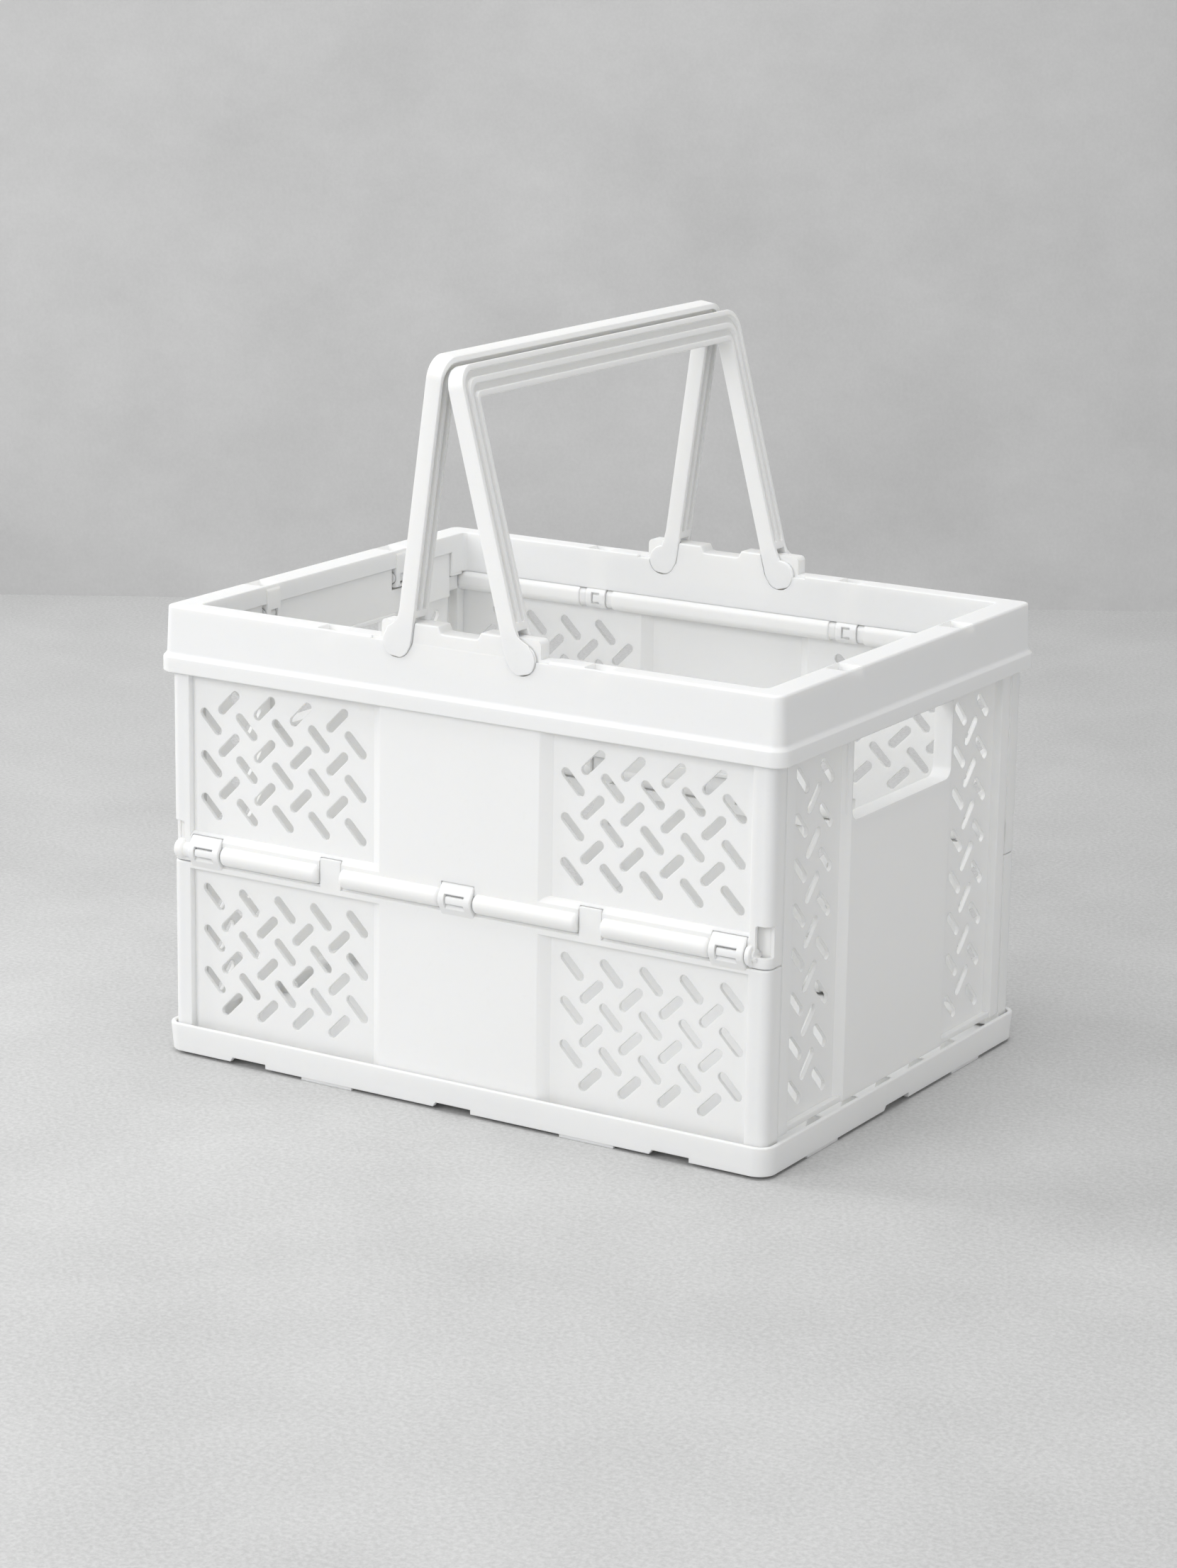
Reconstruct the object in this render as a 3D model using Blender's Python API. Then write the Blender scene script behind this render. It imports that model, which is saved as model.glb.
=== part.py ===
"""Foldable basket: a stackable tray, hinged walls, a rim and two carrying bails.

The basket stands unfolded with its tray on the ground. The origin is the middle of the
footprint, +Z is up, the long front wall faces -Y and one end wall faces +X. Each long wall
is two panels with a snap hinge half way up, each end wall swings up from the rim, and each
handle is a U with forked feet that turn on the ears of the rim.
"""
import math

import bmesh
import bpy
from mathutils import Matrix, Vector

MM = 0.001
DEG = math.pi / 180

# Fits
CLEAR = 0.3 * MM            # gap that neighbouring pieces keep
RUN_GAP = 0.9 * MM          # gap beside the swinging end walls
OVERRUN = 3 * MM            # how far a cutter reaches past what it cuts
WELD = 0.001 * MM
FLAT_ANGLE = 0.1 * DEG      # faces that turn less than this are joined
SHEET = 2.0 * MM            # moulded wall thickness
ARC_STEPS = 3               # segments in a quarter of a small fillet
ROUND_SIDES = 12            # sides of barrels and pins

# Base tray
TRAY_HALF_X = 173.5 * MM
TRAY_HALF_Y = 131.6 * MM
TRAY_HEIGHT = 16.0 * MM
TRAY_DRAFT = 0.85 * MM      # how much each side leans in toward the ground
TRAY_WALL = 2.5 * MM
TRAY_RADIUS = 8.7 * MM
FLOOR_TOP = 7.0 * MM
FLOOR_THICK = 2.5 * MM
FLOOR_UNDER = FLOOR_TOP - FLOOR_THICK
SKIRT_WALL = 2.8 * MM
FOOT_NOTCH_HIGH = 4.0 * MM
FOOT_NOTCH_WIDE = 20.0 * MM
FOOT_NOTCH_INSET = 52.0 * MM
FOOT_NOTCH_SIDE = TRAY_HALF_X - FOOT_NOTCH_INSET
FOOT_NOTCH_END_WIDE = 24.0 * MM
FOOT_NOTCH_SLOPE = 3.0 * MM
STOP_RIB_PITCH = 35.0 * MM
STOP_RIB_WALL = 2.0 * MM
STOP_RIB_BELOW = 2.0 * MM    # below the tray's top
STOP_RIB_TOP = TRAY_HEIGHT - STOP_RIB_BELOW
STOP_RIB_REACH = 11.0 * MM

# Rim
RIM_BEYOND_X = 2.0 * MM      # the lip stands out past the tray's short sides
RIM_WITHIN_Y = 0.35 * MM     # and stays inside its long sides
RIM_HALF_X = TRAY_HALF_X + RIM_BEYOND_X
RIM_HALF_Y = TRAY_HALF_Y - RIM_WITHIN_Y
RIM_RADIUS = 7.5 * MM
LOWER_TOP = 100.1 * MM       # top of the long walls' lower halves
UPPER_TOP = 203.0 * MM       # top of their upper halves
LIP_OVERLAP = 7.0 * MM       # how far the lip hangs over the upper halves
LIP_HIGH = 8.0 * MM
RIM_HIGH = 33.0 * MM
INNER_WALL_HIGH = 20.0 * MM
INNER_WALL_HIGH_END = 9.4 * MM
LIP_UNDER = UPPER_TOP - LIP_OVERLAP
LIP_TOP = LIP_UNDER + LIP_HIGH
RIM_TOP = LIP_UNDER + RIM_HIGH
LIP_STEP = 1.9 * MM         # how far the lip stands out from the collar
LIP_EDGE = 1.5 * MM
COLLAR_DRAFT = 1.0 * MM     # how much the collar leans in from lip to top
RIM_EDGE = 1.2 * MM
RIM_WALL = 2.6 * MM
FLANGE_WIDE = 14.2 * MM     # from the lip's outer face to the mouth, at the long sides
FLANGE_WIDE_END = 16.6 * MM
INNER_WALL = 2.2 * MM
INNER_WALL_UNDER = RIM_TOP - INNER_WALL_HIGH
INNER_WALL_UNDER_END = RIM_TOP - INNER_WALL_HIGH_END
FLANGE_NOTCH_DEEP = 1.6 * MM
FLANGE_NOTCH_WIDE = 15.0 * MM
FLANGE_NOTCH_SLOPE = 4.0 * MM

# Ears that carry the handles
PIVOT_X = 35.0 * MM
EAR_BEYOND = 9.7 * MM        # past the handles' pivots
EAR_OUTER = PIVOT_X + EAR_BEYOND
EAR_INNER = 10.0 * MM
EAR_HIGH = 9.0 * MM          # above the rim's top
EAR_MIDDLE_HIGH = 5.5 * MM
EAR_DEEP = 13.0 * MM         # below the rim's top
EAR_TOP = RIM_TOP + EAR_HIGH
EAR_MIDDLE_TOP = RIM_TOP + EAR_MIDDLE_HIGH
EAR_UNDER = RIM_TOP - EAR_DEEP
EAR_CORE = 7.4 * MM         # thickness of the ear between the two foot pockets
EAR_CHAMFER = 2.0 * MM
POCKET_REACH = 15.0 * MM    # how far the pocket runs outward from the pivot

# Handles
PIVOT_DEEP = 1.0 * MM        # below the rim's top
PIVOT_Z = RIM_TOP - PIVOT_DEEP
HANDLE_WITHIN = 1.75 * MM    # the legs' outer faces, in from the lip's
HANDLE_WIDE = 12.5 * MM      # a leg's width along Y
HANDLE_OUTER_Y = RIM_HALF_Y - HANDLE_WITHIN
HANDLE_INNER_Y = HANDLE_OUTER_Y - HANDLE_WIDE
HANDLE_REACH = 138.6 * MM   # from the pivot to the top of the grip
GRIP_HIGH = 16.0 * MM
HANDLE_DEEP = 8.7 * MM      # thickness of the bail along X
HANDLE_OFFSET = 4.0 * MM    # its centre line lies this far inward of the pivot
HANDLE_OUTER_RADIUS = 10.5 * MM
HANDLE_INNER_RADIUS = 2.0 * MM
WEB_THICK = 2.9 * MM
FOOT_WITHIN_FACE = 0.25 * MM
FORK_CLEAR = 3.4 * MM        # between an ear's top and the fork
FORK_HIGH = EAR_TOP - PIVOT_Z + FORK_CLEAR
CHANNEL_ABOVE = 3.6 * MM
CHANNEL_END = FORK_HIGH + CHANNEL_ABOVE
STUD_RADIUS = 2.5 * MM
STUD_LONG = 2.4 * MM
GRIP_GAP = 0.44 * MM         # between the two grips at rest
BAIL_FACE = HANDLE_OFFSET + HANDLE_DEEP / 2
FOOT_RADIUS = BAIL_FACE - FOOT_WITHIN_FACE
BAIL_CORNER = math.hypot(BAIL_FACE, HANDLE_REACH)
LEAN_LEFT = 7.5 * DEG
LEAN_RIGHT = (math.asin((2 * PIVOT_X * math.cos(LEAN_LEFT) - BAIL_FACE - GRIP_GAP) / BAIL_CORNER)
              - math.atan2(BAIL_FACE, HANDLE_REACH) - LEAN_LEFT)
CHANNEL_SHARES = ((0.17, 0.42), (0.58, 0.83))

# Long walls
WALL_WITHIN_X = 3.7 * MM     # in from the tray's short sides
WALL_WITHIN_Y = 3.65 * MM    # in from its long sides
FIELD_DEEP = 3.55 * MM       # the perforated fields, in from the posts' faces
POST_WIDE = 11.0 * MM
POST_DEEP = 12.05 * MM
WALL_HALF_X = TRAY_HALF_X - WALL_WITHIN_X
WALL_PROUD_Y = TRAY_HALF_Y - WALL_WITHIN_Y
WALL_FIELD_Y = WALL_PROUD_Y - FIELD_DEEP
WALL_RADIUS = 4.6 * MM
CENTRE_FLAT = 45.1 * MM
CENTRE_SLOPE = 5.6 * MM
CENTRE_BEVEL = CENTRE_FLAT + CENTRE_SLOPE
FIELD_END = WALL_HALF_X - POST_WIDE
POST_BACK_Y = WALL_PROUD_Y - POST_DEEP
PANEL_GAP = 0.6 * MM         # between the two halves
UPPER_BORDER_HIGH = 15.6 * MM
UPPER_UNDER = LOWER_TOP + PANEL_GAP
LOWER_BORDER = 3.1 * MM     # proud strip along the top of the lower panel
UPPER_BORDER_TOP = UPPER_UNDER + UPPER_BORDER_HIGH
TOP_BORDER_HIGH = 4.0 * MM

# Slots
SLOT_LONG = 16.2 * MM
SLOT_WIDE = 4.8 * MM
SLOT_ARC_STEPS = 2
HALF_ROW = 0.5              # the rising columns stand half a row off the others
SLOT_PITCH = 21.6 * MM
FIELD_MARGIN = 13.2 * MM     # from a border to the nearest row's middle
FIELD_MARGIN_LOW = 13.6 * MM
SLOT_REACH = (SLOT_LONG - SLOT_WIDE) / 2 * math.cos(math.pi / 4) + SLOT_WIDE / 2
FIELD_CENTRE = (CENTRE_BEVEL + FIELD_END) / 2
UPPER_FIELD_Z = UPPER_BORDER_TOP + FIELD_MARGIN
LOWER_FIELD_Z = LOWER_TOP - LOWER_BORDER - FIELD_MARGIN_LOW

# Mid hinge
MID_WITHIN = 1.55 * MM
MID_ABOVE = 6.2 * MM
CLIP_HIGH = 14.3 * MM
TAB_HIGH = 14.5 * MM
CLIP_INSET = 10.2 * MM
PIN_BEYOND = 4.6 * MM
MID_Y = WALL_PROUD_Y - MID_WITHIN
MID_Z = LOWER_TOP + MID_ABOVE
MID_RADIUS = 5.1 * MM
PIN_RADIUS = 3.2 * MM
CLIP_RADIUS = 5.5 * MM
CLIP_TOP = LOWER_TOP + CLIP_HIGH
CLIP_HALF_WIDE = 9.2 * MM
CLIP_SIDE = FIELD_END - CLIP_INSET
TAB_NEAR = 67.7 * MM
TAB_FAR = 80.4 * MM
TAB_TOP = LOWER_TOP + TAB_HIGH
PIN_END = FIELD_END + PIN_BEYOND
CLIP_WINDOW_WIDE = 9.0 * MM
CLIP_WINDOW_DEEP = 1.2 * MM

# Hinge between the upper panel and the rim
TOP_WITHIN = 6.75 * MM
TOP_BELOW = 0.2 * MM
TOP_BARREL_INSET = 13.8 * MM
TOP_AXIS_Y = WALL_PROUD_Y - TOP_WITHIN
TOP_AXIS_Z = UPPER_TOP - TOP_BELOW
TOP_RADIUS = 5.2 * MM
TOP_CLIP_X = 75.0 * MM
TOP_CLIP_GAP = 20.0 * MM
TOP_CLIP_WIDE = 12.0 * MM
TOP_BARREL_END = WALL_HALF_X - TOP_BARREL_INSET

# Hinge between the lower panel and the tray
FOOT_WITHIN = 6.95 * MM
FOOT_ABOVE = 4.7 * MM
FOOT_AXIS_Y = WALL_PROUD_Y - FOOT_WITHIN
FOOT_AXIS_Z = FLOOR_TOP + FOOT_ABOVE
FOOT_BARREL = 4.0 * MM
FOOT_PIN = 2.4 * MM
FOOT_RING = 3.9 * MM

# Latch windows in the upper posts
LATCH_ABOVE = 7.4 * MM
LATCH_HIGH = 13.0 * MM
LATCH_WIDE = 7.8 * MM
LATCH_DEEP = 8.45 * MM
LATCH_UNDER = LOWER_TOP + LATCH_ABOVE
LATCH_TOP = LATCH_UNDER + LATCH_HIGH
LATCH_NEAR_X = WALL_HALF_X - LATCH_WIDE
LATCH_BACK_Y = WALL_PROUD_Y - LATCH_DEEP

# End walls
END_WITHIN = 3.9 * MM        # in from the tray's short sides
END_FIELD_DEEP = 4.3 * MM
END_AXIS_DEEP = 7.1 * MM
END_AXIS_BELOW = 15.0 * MM
END_TOP_BELOW = 29.0 * MM
END_FLANGE_WIDE = 8.8 * MM
END_BARREL_SHORT = 11.0 * MM
END_ABOVE = 0.6 * MM         # above the tray's top
END_BORDER_HIGH = 2.8 * MM
END_PROUD_X = TRAY_HALF_X - END_WITHIN
END_FIELD_X = END_PROUD_X - END_FIELD_DEEP
END_HALF_Y = POST_BACK_Y - RUN_GAP
END_CENTRE = 51.4 * MM
END_SLOPE = 3.6 * MM
END_BEVEL = END_CENTRE + END_SLOPE
END_FLANGE = END_HALF_Y - END_FLANGE_WIDE
END_UNDER = TRAY_HEIGHT + END_ABOVE
END_BORDER_TOP = END_UNDER + END_BORDER_HIGH
END_PROUD_TOP = RIM_TOP - END_TOP_BELOW
END_AXIS_X = END_PROUD_X - END_AXIS_DEEP
END_AXIS_Z = RIM_TOP - END_AXIS_BELOW
END_BARREL = 5.0 * MM
END_BARREL_HALF = END_HALF_Y - END_BARREL_SHORT
END_CLIP_Y = 57.5 * MM
END_CLIP_WIDE = 11.0 * MM
END_CLIP_GAP = 15.0 * MM
END_SLOT_ROW_Y = (END_BEVEL + END_FLANGE) / 2
END_SLOT_STEP = 12.0 * MM
END_SLOT_MARGIN = 13.3 * MM
END_SLOT_LOW_Z = END_UNDER + END_SLOT_MARGIN
HAND_WITHIN = 1.2 * MM        # in from the plain centre's edge
HAND_HALF = END_CENTRE - HAND_WITHIN
HAND_BELOW = 6.0 * MM
HAND_HIGH = 42.0 * MM
HAND_TOP = END_PROUD_TOP - HAND_BELOW
HAND_UNDER = HAND_TOP - HAND_HIGH
HAND_RADIUS = 9.0 * MM
HAND_LIP_DEEP = 10.0 * MM
HAND_LIP_WALL = 2.2 * MM

WHITE = (0.86, 0.86, 0.85, 1.0)
ROUGHNESS = 0.45


def clear_scene():
    """Remove whatever the start-up file holds."""
    for item in list(bpy.data.objects):
        bpy.data.objects.remove(item, do_unlink=True)


def collection(name):
    """Make a collection under the scene."""
    made = bpy.data.collections.new(name)
    bpy.context.scene.collection.children.link(made)
    return made


clear_scene()
PARTS = collection("foldable_basket")
TOOLS = collection("cutters")


def plastic(name):
    """White moulded plastic, one material for each piece."""
    material = bpy.data.materials.new(name)
    material.use_nodes = True
    shader = material.node_tree.nodes["Principled BSDF"]
    shader.inputs["Base Color"].default_value = WHITE
    shader.inputs["Roughness"].default_value = ROUGHNESS
    shader.inputs["Metallic"].default_value = 0.0
    return material


def tool(name, mesh):
    """Wrap a mesh as a helper that Boolean modifiers read."""
    item = bpy.data.objects.new(name, mesh)
    TOOLS.objects.link(item)
    item.hide_render = True
    item.display_type = 'WIRE'
    return item


def mesh_of(name, bm):
    """Turn a bmesh into a mesh whose faces point out."""
    bmesh.ops.recalc_face_normals(bm, faces=bm.faces)
    mesh = bpy.data.meshes.new(name)
    bm.to_mesh(mesh)
    bm.free()
    return mesh


def block(name, low, high):
    """Box between two corners, made from the cube primitive."""
    bm = bmesh.new()
    bmesh.ops.create_cube(bm, size=1.0)
    low, high = Vector(low), Vector(high)
    bmesh.ops.scale(bm, vec=high - low, verts=bm.verts)
    bmesh.ops.translate(bm, vec=(low + high) / 2, verts=bm.verts)
    return tool(name, mesh_of(name, bm))


AXIS_TURN = {
    'X': Matrix(((0, 0, 1), (1, 0, 0), (0, 1, 0))).to_4x4(),
    'Y': Matrix(((1, 0, 0), (0, 0, -1), (0, 1, 0))).to_4x4(),
    'Z': Matrix.Identity(4),
}
AXIS_VECTOR = {'X': Vector((1, 0, 0)), 'Y': Vector((0, 1, 0)), 'Z': Vector((0, 0, 1))}


def rod(name, axis, centre, radius, start, end, sides=ROUND_SIDES):
    """Cylinder along an axis; centre gives the other two coordinates in order."""
    bm = bmesh.new()
    bmesh.ops.create_cone(bm, cap_ends=True, segments=sides, radius1=radius, radius2=radius,
                          depth=end - start)
    middle = AXIS_TURN[axis] @ Vector((centre[0], centre[1], 0)) + AXIS_VECTOR[axis] * (start + end) / 2
    bmesh.ops.transform(bm, matrix=Matrix.Translation(middle) @ AXIS_TURN[axis], verts=bm.verts)
    return tool(name, mesh_of(name, bm))


def extrusion(name, axis, outlines, start, end):
    """Flat outlines pulled along an axis, from a filled 2D curve."""
    curve = bpy.data.curves.new(name, 'CURVE')
    curve.dimensions = '2D'
    curve.fill_mode = 'BOTH'
    curve.extrude = (end - start) / 2
    for outline in outlines:
        spline = curve.splines.new('POLY')
        spline.points.add(len(outline) - 1)
        for point, (across, up) in zip(spline.points, outline):
            point.co = (across, up, 0, 1)
        spline.use_cyclic_u = True
    shape = bpy.data.objects.new(name, curve)
    TOOLS.objects.link(shape)
    bpy.context.view_layer.update()
    mesh = bpy.data.meshes.new_from_object(shape.evaluated_get(bpy.context.evaluated_depsgraph_get()))
    bpy.data.objects.remove(shape, do_unlink=True)
    bpy.data.curves.remove(curve)
    bm = bmesh.new()
    bm.from_mesh(mesh)
    bpy.data.meshes.remove(mesh)
    bmesh.ops.remove_doubles(bm, verts=bm.verts, dist=WELD)
    bmesh.ops.dissolve_limit(bm, angle_limit=FLAT_ANGLE, verts=bm.verts, edges=bm.edges)
    place = Matrix.Translation(AXIS_VECTOR[axis] * (start + end) / 2) @ AXIS_TURN[axis]
    bmesh.ops.transform(bm, matrix=place, verts=bm.verts)
    return tool(name, mesh_of(name, bm))


def rounded_loop(half_x, half_y, radius, steps=ARC_STEPS):
    """Points of a rounded rectangle round the origin."""
    points = []
    for quarter, (side_x, side_y) in enumerate(((1, 1), (-1, 1), (-1, -1), (1, -1))):
        for step in range(steps + 1):
            turn = (quarter + step / steps) * math.pi / 2
            points.append((side_x * (half_x - radius) + radius * math.cos(turn),
                           side_y * (half_y - radius) + radius * math.sin(turn)))
    return points


def rounded_loft(name, levels):
    """Solid through rounded rectangles stacked in height."""
    bm = bmesh.new()
    loops = [[bm.verts.new((x, y, z)) for x, y in rounded_loop(half_x, half_y, radius)]
             for z, half_x, half_y, radius in levels]
    for lower, upper in zip(loops, loops[1:]):
        for index in range(len(lower)):
            after = (index + 1) % len(lower)
            bm.faces.new((lower[index], lower[after], upper[after], upper[index]))
    bm.faces.new(loops[0][::-1])
    bm.faces.new(loops[-1])
    return tool(name, mesh_of(name, bm))


def piece(name, helper):
    """Make a helper the start of a named part."""
    TOOLS.objects.unlink(helper)
    PARTS.objects.link(helper)
    helper.name = name
    helper.hide_render = False
    helper.display_type = 'TEXTURED'
    helper.data.materials.append(plastic(name + "_plastic"))
    return helper


def combine(target, operation, helpers):
    """Add one Boolean modifier for each helper."""
    for helper in helpers:
        step = target.modifiers.new(helper.name, 'BOOLEAN')
        step.operation = operation
        step.object = helper
        helper.parent = target
    return target


def join(target, *helpers):
    """Unite helpers with a part."""
    return combine(target, 'UNION', helpers)


def cut(target, *helpers):
    """Take helpers out of a part."""
    return combine(target, 'DIFFERENCE', helpers)


def manifold(part):
    """Use the solver that copes with the many faces of clips and barrels that coincide."""
    for step in part.modifiers:
        step.solver = 'MANIFOLD'
    return part


def turned(points, angle, centre=(0, 0)):
    """Rotate and shift flat points."""
    c, s = math.cos(angle), math.sin(angle)
    return [(centre[0] + a * c - b * s, centre[1] + a * s + b * c) for a, b in points]


def slot_outline(centre, angle):
    """Long hole with round ends."""
    radius = SLOT_WIDE / 2
    reach = SLOT_LONG / 2 - radius
    points = []
    for side in (1, -1):
        for step in range(SLOT_ARC_STEPS + 1):
            turn = (step / SLOT_ARC_STEPS - 1 / 2) * math.pi
            points.append((side * (reach + radius * math.cos(turn)), side * radius * math.sin(turn)))
    return turned(points, angle, centre)


def copies(room, pitch):
    """How many more slots fit in a length past the first one's middle."""
    return int((room - SLOT_REACH) / pitch)


def field_slots(first_z, room, way):
    """Herringbone of one half of a long wall, both fields, in rows up or down from the first."""
    outlines = []
    step = SLOT_PITCH / 2
    spread = copies((FIELD_END - CENTRE_BEVEL) / 2, step)
    for side in (-1, 1):
        for column in range(-spread, spread + 1):
            rising = column % 2 != 0
            angle = math.pi / 4 if rising else -math.pi / 4
            for row in range(1 + copies(room - step, SLOT_PITCH)):
                lift = way * (row + (HALF_ROW if rising else 0))
                centre = (side * FIELD_CENTRE + column * step, first_z + lift * SLOT_PITCH)
                outlines.append(slot_outline(centre, angle))
    return outlines


def base_tray():
    """Shallow tray on a skirt, with stops for the end walls and rings for the lower panels."""
    low_x, low_y = TRAY_HALF_X - TRAY_DRAFT, TRAY_HALF_Y - TRAY_DRAFT
    body = rounded_loft("tray_body", [(0, low_x, low_y, TRAY_RADIUS),
                                      (TRAY_HEIGHT, TRAY_HALF_X, TRAY_HALF_Y, TRAY_RADIUS)])
    tray = piece("base_tray", body)
    in_x, in_y = TRAY_HALF_X - TRAY_WALL, TRAY_HALF_Y - TRAY_WALL
    in_radius = TRAY_RADIUS - TRAY_WALL
    cut(tray, rounded_loft("tray_well", [(FLOOR_TOP, in_x, in_y, in_radius),
                                         (TRAY_HEIGHT + OVERRUN, in_x, in_y, in_radius)]))
    under_x, under_y = low_x - SKIRT_WALL, low_y - SKIRT_WALL
    under_radius = TRAY_RADIUS - SKIRT_WALL
    cut(tray, rounded_loft("tray_hollow", [(-OVERRUN, under_x, under_y, under_radius),
                                           (FLOOR_UNDER, under_x, under_y, under_radius)]))
    for centre in (-FOOT_NOTCH_SIDE, 0, FOOT_NOTCH_SIDE):
        outline = foot_notch(centre, FOOT_NOTCH_WIDE)
        cut(tray, extrusion("tray_notch", 'Y', [outline], -TRAY_HALF_Y - OVERRUN, TRAY_HALF_Y + OVERRUN))
    outline = foot_notch(0, FOOT_NOTCH_END_WIDE)
    cut(tray, extrusion("tray_notch_end", 'X', [outline], -TRAY_HALF_X - OVERRUN, TRAY_HALF_X + OVERRUN))
    bite = TRAY_WALL / 3
    for side in (-1, 1):
        near, far = sorted((side * (in_x + bite), side * (in_x - STOP_RIB_REACH)))
        for place in range(-2, 3):
            middle = place * STOP_RIB_PITCH
            join(tray, block("stop_rib", (near, middle - STOP_RIB_WALL / 2, FLOOR_TOP - bite),
                             (far, middle + STOP_RIB_WALL / 2, STOP_RIB_TOP)))
        for place in (-TOP_CLIP_X, TOP_CLIP_X):
            start, end = place - TOP_CLIP_WIDE / 2, place + TOP_CLIP_WIDE / 2
            axis = (side * FOOT_AXIS_Y, FOOT_AXIS_Z)
            join(tray, rod("foot_ring", 'X', axis, FOOT_RING, start, end),
                 block("foot_block", (start, axis[0] - FOOT_RING, FLOOR_TOP - bite),
                       (end, axis[0] + FOOT_RING, FOOT_AXIS_Z)))
            cut(tray, rod("foot_bore", 'X', axis, FOOT_PIN + CLEAR, start - OVERRUN, end + OVERRUN))
    return manifold(tray)


def foot_notch(centre, wide):
    """Opening at the tray's lower edge, one flank sloped."""
    left, right = centre - wide / 2, centre + wide / 2
    return [(left - FOOT_NOTCH_SLOPE, -OVERRUN), (left - FOOT_NOTCH_SLOPE, 0), (left, FOOT_NOTCH_HIGH),
            (right, FOOT_NOTCH_HIGH), (right, -OVERRUN)]


def rim_level(z, inset):
    """One level of the rim, drawn in from the lip's outer face."""
    return (z, RIM_HALF_X - inset, RIM_HALF_Y - inset, max(RIM_RADIUS - inset, RIM_WALL))


def top_rim():
    """Hollow rim with a lip, ears for the handles and clips for all four walls."""
    collar = LIP_STEP + COLLAR_DRAFT
    under_flange = RIM_TOP - RIM_WALL
    outer = rounded_loft("rim_body", [
        rim_level(LIP_UNDER, 0), rim_level(LIP_TOP, 0), rim_level(LIP_TOP + LIP_EDGE, LIP_STEP),
        rim_level(RIM_TOP - RIM_EDGE, collar), rim_level(RIM_TOP, collar + RIM_EDGE)])
    rim = piece("top_rim", outer)
    cut(rim, rounded_loft("rim_hollow", [
        rim_level(LIP_UNDER - OVERRUN, RIM_WALL), rim_level(LIP_TOP + LIP_EDGE - RIM_WALL / 2, RIM_WALL),
        rim_level(LIP_TOP + LIP_EDGE, LIP_STEP + RIM_WALL), rim_level(under_flange, collar + RIM_WALL)]))
    mouth_x, mouth_y = RIM_HALF_X - FLANGE_WIDE_END, RIM_HALF_Y - FLANGE_WIDE
    ring_x, ring_y = mouth_x + INNER_WALL, mouth_y + INNER_WALL
    join(rim, rounded_loft("rim_inner", [(INNER_WALL_UNDER, ring_x, ring_y, RIM_WALL + INNER_WALL),
                                         (RIM_TOP - RIM_WALL / 2, ring_x, ring_y, RIM_WALL + INNER_WALL)]))
    for side in (-1, 1):
        near, far = sorted((side * (mouth_x - OVERRUN), side * (ring_x + OVERRUN)))
        cut(rim, block("rim_end_step", (near, -mouth_y + RIM_WALL, INNER_WALL_UNDER - OVERRUN),
                       (far, mouth_y - RIM_WALL, INNER_WALL_UNDER_END)))
    cut(rim, rounded_loft("rim_mouth", [(INNER_WALL_UNDER - OVERRUN, mouth_x, mouth_y, RIM_WALL),
                                        (RIM_TOP + OVERRUN, mouth_x, mouth_y, RIM_WALL)]))
    for side in (-1, 1):
        ear(rim, side, mouth_y)
        wall_clips(rim, side, mouth_y)
        end_clips(rim, side, mouth_x)
    return manifold(rim)


def ear(rim, side, mouth_y):
    """Raised block on a long side, with a pocket and a bore for each foot."""
    outer_y, inner_y = RIM_HALF_Y - LIP_STEP - COLLAR_DRAFT - CLEAR / 2, mouth_y + CLEAR / 2
    near, far = sorted((side * outer_y, side * inner_y))
    join(rim, extrusion("ear_block", 'Y', [ear_outline()], near, far))
    core = (HANDLE_OUTER_Y + HANDLE_INNER_Y) / 2
    for end, lean in ((-1, LEAN_LEFT), (1, LEAN_RIGHT)):
        pocket = pocket_outline(end, lean)
        face, back = core + EAR_CORE / 2, core - EAR_CORE / 2
        for first, second in ((face, outer_y + OVERRUN), (inner_y - OVERRUN, back)):
            start, stop = sorted((side * first, side * second))
            cut(rim, extrusion("foot_pocket", 'Y', [pocket], start, stop))
        cut(rim, rod("stud_bore", 'Y', (end * PIVOT_X, PIVOT_Z), STUD_RADIUS + CLEAR, near, far))


def ear_outline():
    """Front view of an ear: two raised ends joined by a lower middle."""
    half = [(EAR_INNER, EAR_MIDDLE_TOP), (EAR_INNER + EAR_CHAMFER, EAR_TOP),
            (EAR_OUTER - EAR_CHAMFER, EAR_TOP), (EAR_OUTER, EAR_TOP - EAR_CHAMFER), (EAR_OUTER, EAR_UNDER)]
    return [(-x, z) for x, z in reversed(half)] + half


def pocket_outline(end, lean):
    """Hollow that lets a foot turn from its leaning rest to flat outward."""
    radius = HANDLE_OFFSET + HANDLE_DEEP / 2 + RUN_GAP / 2
    above = EAR_TOP - PIVOT_Z + OVERRUN
    first = -math.asin(CLEAR / radius)
    last = lean - math.pi
    points = [(POCKET_REACH, above), (POCKET_REACH, -CLEAR)]
    steps = 3 * ARC_STEPS
    for step in range(steps + 1):
        turn = first + (last - first) * step / steps
        points.append((radius * math.cos(turn), radius * math.sin(turn)))
    points.append((-radius / math.cos(lean) - above * math.tan(lean), above))
    return [(end * (PIVOT_X + outward), PIVOT_Z + up) for outward, up in points]


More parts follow.
